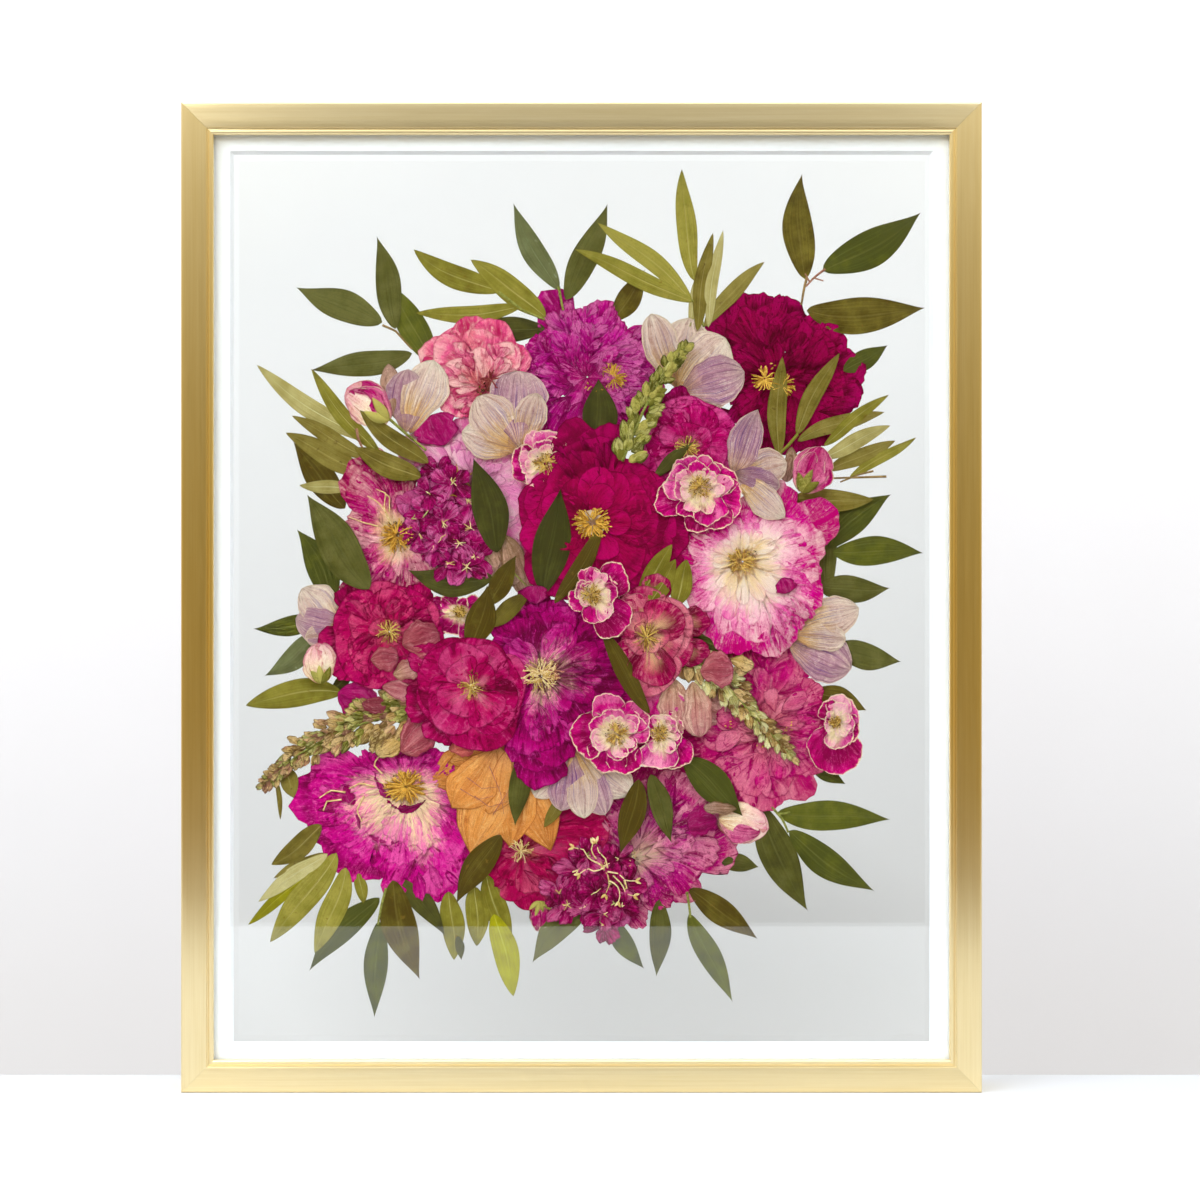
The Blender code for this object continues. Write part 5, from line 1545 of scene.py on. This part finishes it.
# base, tip, width, skin, widest, point, tone
broad_petals("tulip_upper_left", (
    ((-101, 362), (-105, 392), 10, 2, 0.6, 0.7, 0.6), ((-93, 354), (-80, 394), 21, 0, 0.62, 0.62, 0.7),
    ((-96, 354), (-94, 389), 19, 1, 0.62, 0.62, 0.4)), 51, (TULIP_CREAM, TULIP_LILAC, TULIP_TAN),
    "petal_cream")
broad_petals("tulip_fan_centre", (
    ((-35, 345), (-65, 355), 17, 0, 0.6, 0.62, 0.6), ((-35, 346), (-57, 374), 21, 0, 0.62, 0.62, 0.45),
    ((-34, 346), (-35, 388), 27, 1, 0.66, 0.38, 0.45), ((-33, 346), (-24, 376), 15, 0, 0.62, 0.62, 0.4)), 52,
    (TULIP_CREAM, TULIP_LILAC), "petal_cream")
broad_petals("tulip_upper_right", (
    ((52, 378), (37, 419), 17, 0, 0.62, 0.6, 0.5), ((52, 379), (58, 417), 24, 0, 0.62, 0.62, 0.5),
    ((50, 376), (80, 374), 16, 0, 0.62, 0.62, 0.3),
    ((52, 378), (78, 406), 26, 0, 0.62, 0.62, 0.7), ((53, 377), (88, 388), 23, 1, 0.62, 0.62, 0.5)),
    53, (TULIP_CREAM, TULIP_LILAC), "petal_cream")
broad_petals("tulip_star_right", (
    ((82, 332), (111, 338), 17, 0, 0.65, 0.62, 0.35), ((82, 333), (95, 367), 16, 1, 0.5, 0.9, 0.4),
    ((82, 331), (110, 309), 14, 0, 0.6, 0.7, 0.6), ((81, 332), (107, 325), 14, 1, 0.6, 0.6, 0.15)),
    54, (TULIP_CREAM, TULIP_LILAC), "petal_cream")
broad_petals("tulip_fan_low", (
    ((-6, 183), (-25, 157), 16, 0, 0.62, 0.62, 0.6), ((-4, 183), (27, 159), 18, 0, 0.62, 0.62, 0.7),
    ((-5, 184), (13, 148), 17, 1, 0.62, 0.62, 0.6), ((-5, 184), (-11, 150), 17, 1, 0.62, 0.62, 0.4),
    ((-4, 184), (2, 146), 15, 0, 0.62, 0.62, 0.5)),
    55, (TULIP_CREAM, TULIP_LILAC), "petal_cream")
broad_petals("tulip_petal_left", (
    ((-128, 246), (-152, 270), 19, 0, 0.6, 0.62, 0.6), ((-127, 247), (-155, 254), 17, 1, 0.6, 0.62, 0.4),
    ((-126, 246), (-150, 244), 12, 0, 0.6, 0.62, 0.3)), 56, (TULIP_CREAM, TULIP_LILAC), "petal_cream")
broad_petals("tulip_pair_right", (
    ((112, 242), (146, 227), 24, 1, 0.6, 0.62, 0.4), ((116, 250), (150, 260), 18, 0, 0.6, 0.62, 0.6),
    ((114, 246), (143, 243), 14, 0, 0.6, 0.5, 0.4)), 57, (TULIP_CREAM, TULIP_LILAC), "petal_cream")
broad_petals("lily_orange", (
    ((-40, 184), (-82, 165), 24, 0, 0.55, 1.0, 0.35), ((-40, 184), (-72, 176), 14, 0, 0.55, 1.0, 0.6),
    ((-44, 182), (-60, 127), 27, 0, 0.52, 1.0, 0.6), ((-36, 180), (-17, 128), 23, 0, 0.52, 1.0, 0.3),
    ((-38, 184), (-38, 130), 24, 0, 0.55, 1.0, 0.45), ((-44, 185), (-50, 148), 24, 0, 0.6, 1.0, 0.55),
    ((-46, 183), (-70, 151), 23, 0, 0.6, 1.0, 0.5)), 58, (ORANGE,), "petal_orange",
    scratches=(((-62, 168), (-54, 162), (-44, 163)), ((-58, 158), (-50, 152), (-40, 155)),
               ((-50, 174), (-44, 160), (-42, 148)),
               ((-66, 162), (-56, 156), (-48, 158)), ((-48, 148), (-40, 160), (-36, 170))))

closed_bud("bud_upper_left", (-104, 361), 143, 29, 23, (BUD_CREAM, BUD_PINK, SEPAL), 61, "petal_cream",
           sepals=2)
closed_bud("bud_right", (119, 322), 66, 27, 20, (BUD_PINK, BUD_PINK, SEPAL), 62, "petal_pink")
closed_bud("bud_cream_left", (-141, 219), 95, 22, 17, (BUD_CREAM, BUD_CREAM, SEPAL), 63, "petal_cream")
closed_bud("bud_white_low", (74, 146), -12, 28, 21, (BUD_CREAM, BUD_PINK), 64, "petal_cream",
           sepals=0, petals=5)
closed_bud("bud_small_low", (-23, 101), -88, 17, 11, (BUD_PINK, BUD_PINK, SEPAL), 65, "bud_green", sepals=4)

snapdragon("snapdragon_top", ((22, 339), (27, 352), (38, 376), (48, 391), (57, 401)), 71, 9.0,
           (POD_GREEN, SEPAL), (20, 9), count=80,
           papery=0.12)
snapdragon("snapdragon_left", ((-88, 206), (-110, 200), (-134, 192), (-154, 180), (-172, 164)), 72, 10,
           (POD_TAN, POD_GREEN, MAUVE_TAN), (31, 10), count=160, thin=0.5, papery=0.5)
snapdragon("snapdragon_right", ((60, 234), (76, 220), (92, 203), (106, 188), (113, 180)), 73, 9.5,
           (POD_PALE, POD_TAN), (20, 10),
           count=84, papery=0.3)

# loose petals: name, base, tip, width, skin, layer, tone
for number, (name, base, tip, width, skin, layer, tone) in enumerate((
    ("magenta_upper", (-74, 348), (-82, 364), 21, MAGENTA_LOOSE, 1.6, 0.5),
    ("tan_left_a", (-50, 301), (-36, 272), 16, TULIP_TAN, 1.3, 0.6),
    ("tan_left_b", (-42, 300), (-30, 268), 13, TULIP_TAN, 1.6, 0.5),
    ("tan_left_c", (-56, 296), (-48, 276), 12, TULIP_TAN, 1.1, 0.7),
    ("dusty_rose", (-97, 240), (-77, 246), 18, MAUVE, 3.6, 0.3),
    ("mauve_rose", (-114, 232), (-99, 233), 12, MAUVE, 3.4, 0.5),
    ("beige_rose", (-102, 224), (-87, 228), 10, BEIGE, 3.5, 0.5),
    ("pink_rose", (-108, 217), (-90, 214), 9, MAUVE, 3.3, 0.8),
    ("mauve_low", (-98, 182), (-79, 198), 18, MAUVE, 2.4, 0.4),
    ("purple_low_left", (-132, 214), (-112, 206), 20, MAGENTA_LOOSE, 1.0, 0.4),
    ("brown_mauve", (-119, 208), (-106, 206), 8, MAUVE, 2.2, 0.1),
    ("red_low", (-72, 184), (-58, 185), 9, RED_PETAL, 2.8, 0.5),
    ("round_mauve", (64, 226), (82, 227), 17, MAUVE, 4.9, 0.6),
    ("beige_right_a", (50, 222), (50, 192), 16, BEIGE, 3.6, 0.6),
    ("beige_right_b", (60, 220), (64, 190), 14, BEIGE, 3.9, 0.7),
    ("yellow_right", (80, 232), (93, 228), 7, POD_TAN, 4.9, 0.7),
    ("tan_snapdragon", (-95, 191), (-111, 180), 10, POD_TAN, 2.0, 0.5),
    ("magenta_by_bud", (73, 146), (57, 142), 13, MAGENTA_LOOSE, 3.0, 0.3),
    ("tan_over_bud", (84, 151), (66, 152), 6, TULIP_TAN, 3.2, 0.5),
    ("tan_behind_a", (63, 242), (55, 221), 16, POD_TAN, 0.9, 0.6),
    ("tan_behind_b", (72, 223), (77, 206), 17, BEIGE, 0.9, 0.7),
    ("tan_behind_c", (77, 246), (87, 234), 13, MAUVE, 0.9, 0.6),
    ("tan_behind_d", (54, 214), (78, 202), 19, BEIGE, 0.8, 0.6),
    ("pink_behind", (28, 194), (33, 179), 13, MAGENTA_LOOSE, 0.8, 0.5),
    ("tan_by_bud", (114, 347), (111, 328), 8, TULIP_TAN, 1.4, 0.6),
    ("pink_by_snapdragon", (108, 276), (112, 268), 10, MAGENTA_LOOSE, 4.6, 0.6),
    ("tiny_bud", (-25, 262), (-25, 272), 12, MAGENTA_LOOSE, 5.6, 0.6),
)):
    rng = np.random.default_rng(800 + number)
    sheets = Sheets()
    blade(sheets, rng, tip, base, width * 1.15, layer_y(layer), widest=0.58, blunt=0.5, point=0.4, fold=0.1,
          wave=0.4,
          tone=tone, rows=22, cols=19, heart=0.5, rag=0.11)
    sheets.build("petal_" + name, (skin,), slot="petal_pink")


# ---------------------------------------------------------------- stalks and twigs
# name, points, radius, skin, layer
for name, path, radius, skin, layer in (
    ("top_left", ((-108, 413), (-101, 410), (-92, 400)), 0.7, TWIG_BROWN, 0.4),
    ("olive_top_left", ((-45, 431), (-32, 421), (-20, 416)), 0.8, STALK_GREEN, 0.5),
    ("top_fork", ((-12.5, 434), (-11.5, 428), (-10, 421)), 0.8, STALK_GREEN, 0.5),
    ("olive_top", ((60, 427), (64, 421), (66, 412)), 0.9, STALK_GREEN, 0.6),
    ("top_spoon", ((122, 439), (120.5, 433), (119, 424)), 0.8, TWIG_BROWN, 0.5),
    ("top_right", ((132, 443.5), (126, 439), (121.5, 434)), 0.7, TWIG_PINK, 0.6),
    ("top_right_twig_a", ((126, 438.5), (131, 437)), 0.5, TWIG_PINK, 0.6),
    ("top_right_twig_b", ((123.5, 436.5), (121, 441)), 0.5, TWIG_PINK, 0.6),
    ("on_crimson", ((117, 354), (112, 348), (106, 342)), 1.0, OLIVE, 1.6),
    ("tan_twig", ((165, 331), (150, 330.5), (134, 330)), 0.7, TWIG_BROWN, 1.3),
    ("tan_twig_small", ((158, 334), (150, 332), (140, 328)), 0.6, TWIG_BROWN, 1.2),
    ("foot_right", ((103, 152), (109, 145), (112, 138)), 0.8, STALK_GREEN, 0.5),
    ("foot_right_side", ((107, 148), (113, 149)), 0.7, STALK_GREEN, 0.5),
    ("foot_right_low", ((57, 106), (58, 100), (59, 92)), 0.8, STALK_GREEN, 0.4),
    ("foot_left", ((-106, 108), (-108.5, 99), (-110.5, 88)), 0.8, STALK_GREEN, 0.4),
    ("under_bud", ((-122, 357), (-121, 351), (-118, 345)), 0.8, TWIG_PINK, 1.2),
    ("yellow_green", ((-104, 362), (-95, 354), (-84, 345)), 0.9, STALK_GREEN, 2.9),
    ("between_leaves", ((-40, 285), (-36, 278), (-30, 272)), 0.5, STALK_GREEN, 3.0),
):
    sheets = Sheets()
    thread(sheets, path, radius, layer_y(layer), tone=0.5, end=radius * 0.75, sides=7, flat=0.7)
    sheets.build("stalk_" + name, (skin,), slot="bud_green")


# ---------------------------------------------------------------- floor, wall, light and camera, in metres
WALL_BEHIND = 0.36
WALL_SPAN = (-0.9, 1.8)
TABLE_BACK = 0.073
TABLE_EDGE = 0.035
TABLE_FRONT = -0.77
STAGE_HALF = 1.9
# a shade painted into the wall's glow at its foot, standing in for the frame's soft shadow: its middle, half
# sizes, and the share of light left there
PAINTED_SHADE_AT = (0.022, 0.02)
PAINTED_SHADE_HALF = (0.23, 0.12)
PAINTED_SHADE_LEFT = 0.68
CAMERA_AT = (0.00993, -1.516, 0.2641)
CAMERA_LENS = 83.98
DAYLIGHT = "#F8FBFF"


def studio_white(name, colour, glow=0.0, one_sided=False):
    """Matt white studio surface; the wall is a lit backdrop and gives off some light of its own, painted
    stronger higher up and with a painted shade at its foot.
    """
    made, tree, shader = new_material(name)
    cloud = noise(tree, place(tree), 3.0, detail=3)
    tree.links.new(mixed(tree, span(tree, cloud, 0.3, 0.7, 0.0, 0.12), colour, "#C4C5C8"),
                   shader.inputs["Base Color"])
    shader.inputs["Roughness"].default_value = 0.9
    shader.inputs["Specular IOR Level"].default_value = 0.1
    if glow:
        shader.inputs["Emission Color"].default_value = linear("#FFFDFE")
        at = add(tree, "ShaderNodeSeparateXYZ", Vector=place(tree)).outputs
        # the glow is painted stronger higher up, as light falling from above would make the wall
        lit = span(tree, at["Z"], -0.15, 0.6, 0.8 * glow, 1.06 * glow)
        # painted shade at the foot of the wall, darkening its glow where the frame's own soft shadow would
        # fall
        aside = sums(tree, "MULTIPLY", sums(tree, "SUBTRACT", at["X"], PAINTED_SHADE_AT[0]), 1 / PAINTED_SHADE_HALF[0])
        above = sums(tree, "MULTIPLY", sums(tree, "SUBTRACT", at["Z"], PAINTED_SHADE_AT[1]), 1 / PAINTED_SHADE_HALF[1])
        apart = sums(tree, "ADD", sums(tree, "MULTIPLY", aside, aside), sums(tree, "MULTIPLY", above, above))
        shaded = sums(tree, "MULTIPLY", lit, span(tree, apart, 0.0, 1.0, PAINTED_SHADE_LEFT, 1.0))
        tree.links.new(shaded, shader.inputs["Emission Strength"])
    if one_sided:
        behind = add(tree, "ShaderNodeNewGeometry").outputs["Backfacing"]
        clear = add(tree, "ShaderNodeBsdfTransparent")
        both = add(tree, "ShaderNodeMixShader", i0=behind, i1=shader.outputs[0], i2=clear.outputs[0])
        tree.links.new(both.outputs[0], tree.nodes["Material Output"].inputs["Surface"])
    return made


def drawn_along(name, line, material):
    """A long surface: a line of (y, z) points carried from left to right, kept out of the object's pieces."""
    points = [(x, y, z) for x in (-STAGE_HALF, STAGE_HALF) for y, z in line]
    count = len(line)
    mesh = bpy.data.meshes.new(name)
    mesh.from_pydata(points, [], [(i, count + i, count + i + 1, i + 1) for i in range(count - 1)])
    mesh.shade_smooth()
    placed(name, mesh, material)


def studio():
    """White table top with a rounded back edge, and the white wall some way behind it."""
    top = [(TABLE_FRONT, 0.0), (TABLE_BACK - TABLE_EDGE, 0.0)]
    for a in np.linspace(0, math.pi / 2, 10)[1:]:
        top.append((TABLE_BACK - TABLE_EDGE + TABLE_EDGE * math.sin(a),
                    TABLE_EDGE * math.cos(a) - TABLE_EDGE))
    drawn_along("studio_table", top, studio_white("studio_table_white", "#C6C8CB"))
    wall = [(WALL_BEHIND, z) for z in WALL_SPAN]
    drawn_along("studio_wall", wall, studio_white("studio_wall_white", "#9A9B9D", 0.6, one_sided=True))


def room_light():
    """The room round the studio, as the frame mirrors it: white and bright overhead, warm and dimmer at eye
    level, and a dark patch straight ahead where the camera stands, which is all that the glass mirrors.
    Looked at straight or through the panes it is plain pale grey."""
    world = bpy.data.worlds.new("studio_room")
    bpy.context.scene.world = world
    world.use_nodes = True
    tree = world.node_tree
    back = tree.nodes["Background"]
    way = add(tree, "ShaderNodeSeparateXYZ",
              Vector=add(tree, "ShaderNodeTexCoord").outputs["Generated"]).outputs
    rise = ramp(tree, span(tree, way["Z"], -0.5, 1.0), (
        (0.0, "#000000"), (0.28, "#C6A656"), (0.333, "#CAAC5A"), (0.38, "#CEB66C"), (0.416, "#DAC68A"),
        (0.445, "#EADFBE"), (0.52, "#F4F5F6"), (0.68, "#F6F9FF"), (1.0, "#FBFDFF")))
    level = sums(tree, "MULTIPLY", way["Z"], 1 / 0.23)
    across = sums(tree, "MULTIPLY", way["X"], 1 / 0.25)
    spread = sums(tree, "ADD", sums(tree, "MULTIPLY", level, level), sums(tree, "MULTIPLY", across, across))
    ahead = sums(tree, "LESS_THAN", way["Y"], 0.0)
    patch = sums(tree, "MULTIPLY", span(tree, spread, 1.0, 0.45), ahead)
    path = add(tree, "ShaderNodeLightPath").outputs
    straight = sums(tree, "ADD", path["Is Camera Ray"], path["Is Transmission Ray"])
    bounced = sums(tree, "ADD", path["Diffuse Depth"], path["Glossy Depth"])
    seen = sums(tree, "MULTIPLY", straight, sums(tree, "LESS_THAN", bounced, 0.5))
    tree.links.new(mixed(tree, seen, mixed(tree, patch, rise, "#241E16"), "#D6D7D9"), back.inputs["Color"])


def soft_light(name, place_at, target, size, power):
    """A large soft daylight panel aimed at a point."""
    lamp = bpy.data.lights.new(name, "AREA")
    lamp.shape = "RECTANGLE"
    lamp.size, lamp.size_y = size
    lamp.energy = power
    lamp.color = linear(DAYLIGHT)[:3]
    made = bpy.data.objects.new(name, lamp)
    made.location = place_at
    made.rotation_euler = (Vector(target) - Vector(place_at)).to_track_quat("-Z", "Y").to_euler()
    bpy.context.scene.collection.objects.link(made)


def level_camera():
    """Looks straight at the frame from a little right of its middle, level with its centre."""
    lens = bpy.data.cameras.new("studio_camera")
    lens.sensor_width = 36.0
    lens.lens = CAMERA_LENS
    made = bpy.data.objects.new("studio_camera", lens)
    made.location = CAMERA_AT
    made.rotation_euler = (math.pi / 2, 0, 0)
    bpy.context.scene.collection.objects.link(made)
    bpy.context.scene.camera = made


studio()
room_light()
soft_light("key_upper_left", (-1.3, -1.5, 1.65), (0, 0, 0.27), (1.7, 1.2), 44.0)
soft_light("fill_upper_right", (1.25, -1.5, 1.6), (0, 0, 0.27), (1.6, 1.2), 13.0)
soft_light("overhead", (0.0, -0.35, 1.9), (0, 0, 0.2), (2.6, 1.0), 21.0)
level_camera()
bpy.context.scene.view_settings.view_transform = "Standard"
# full-strength light through the panes: Cycles' glossy filter would dim whatever is lit through glass
bpy.context.scene.cycles.blur_glossy = 0.0
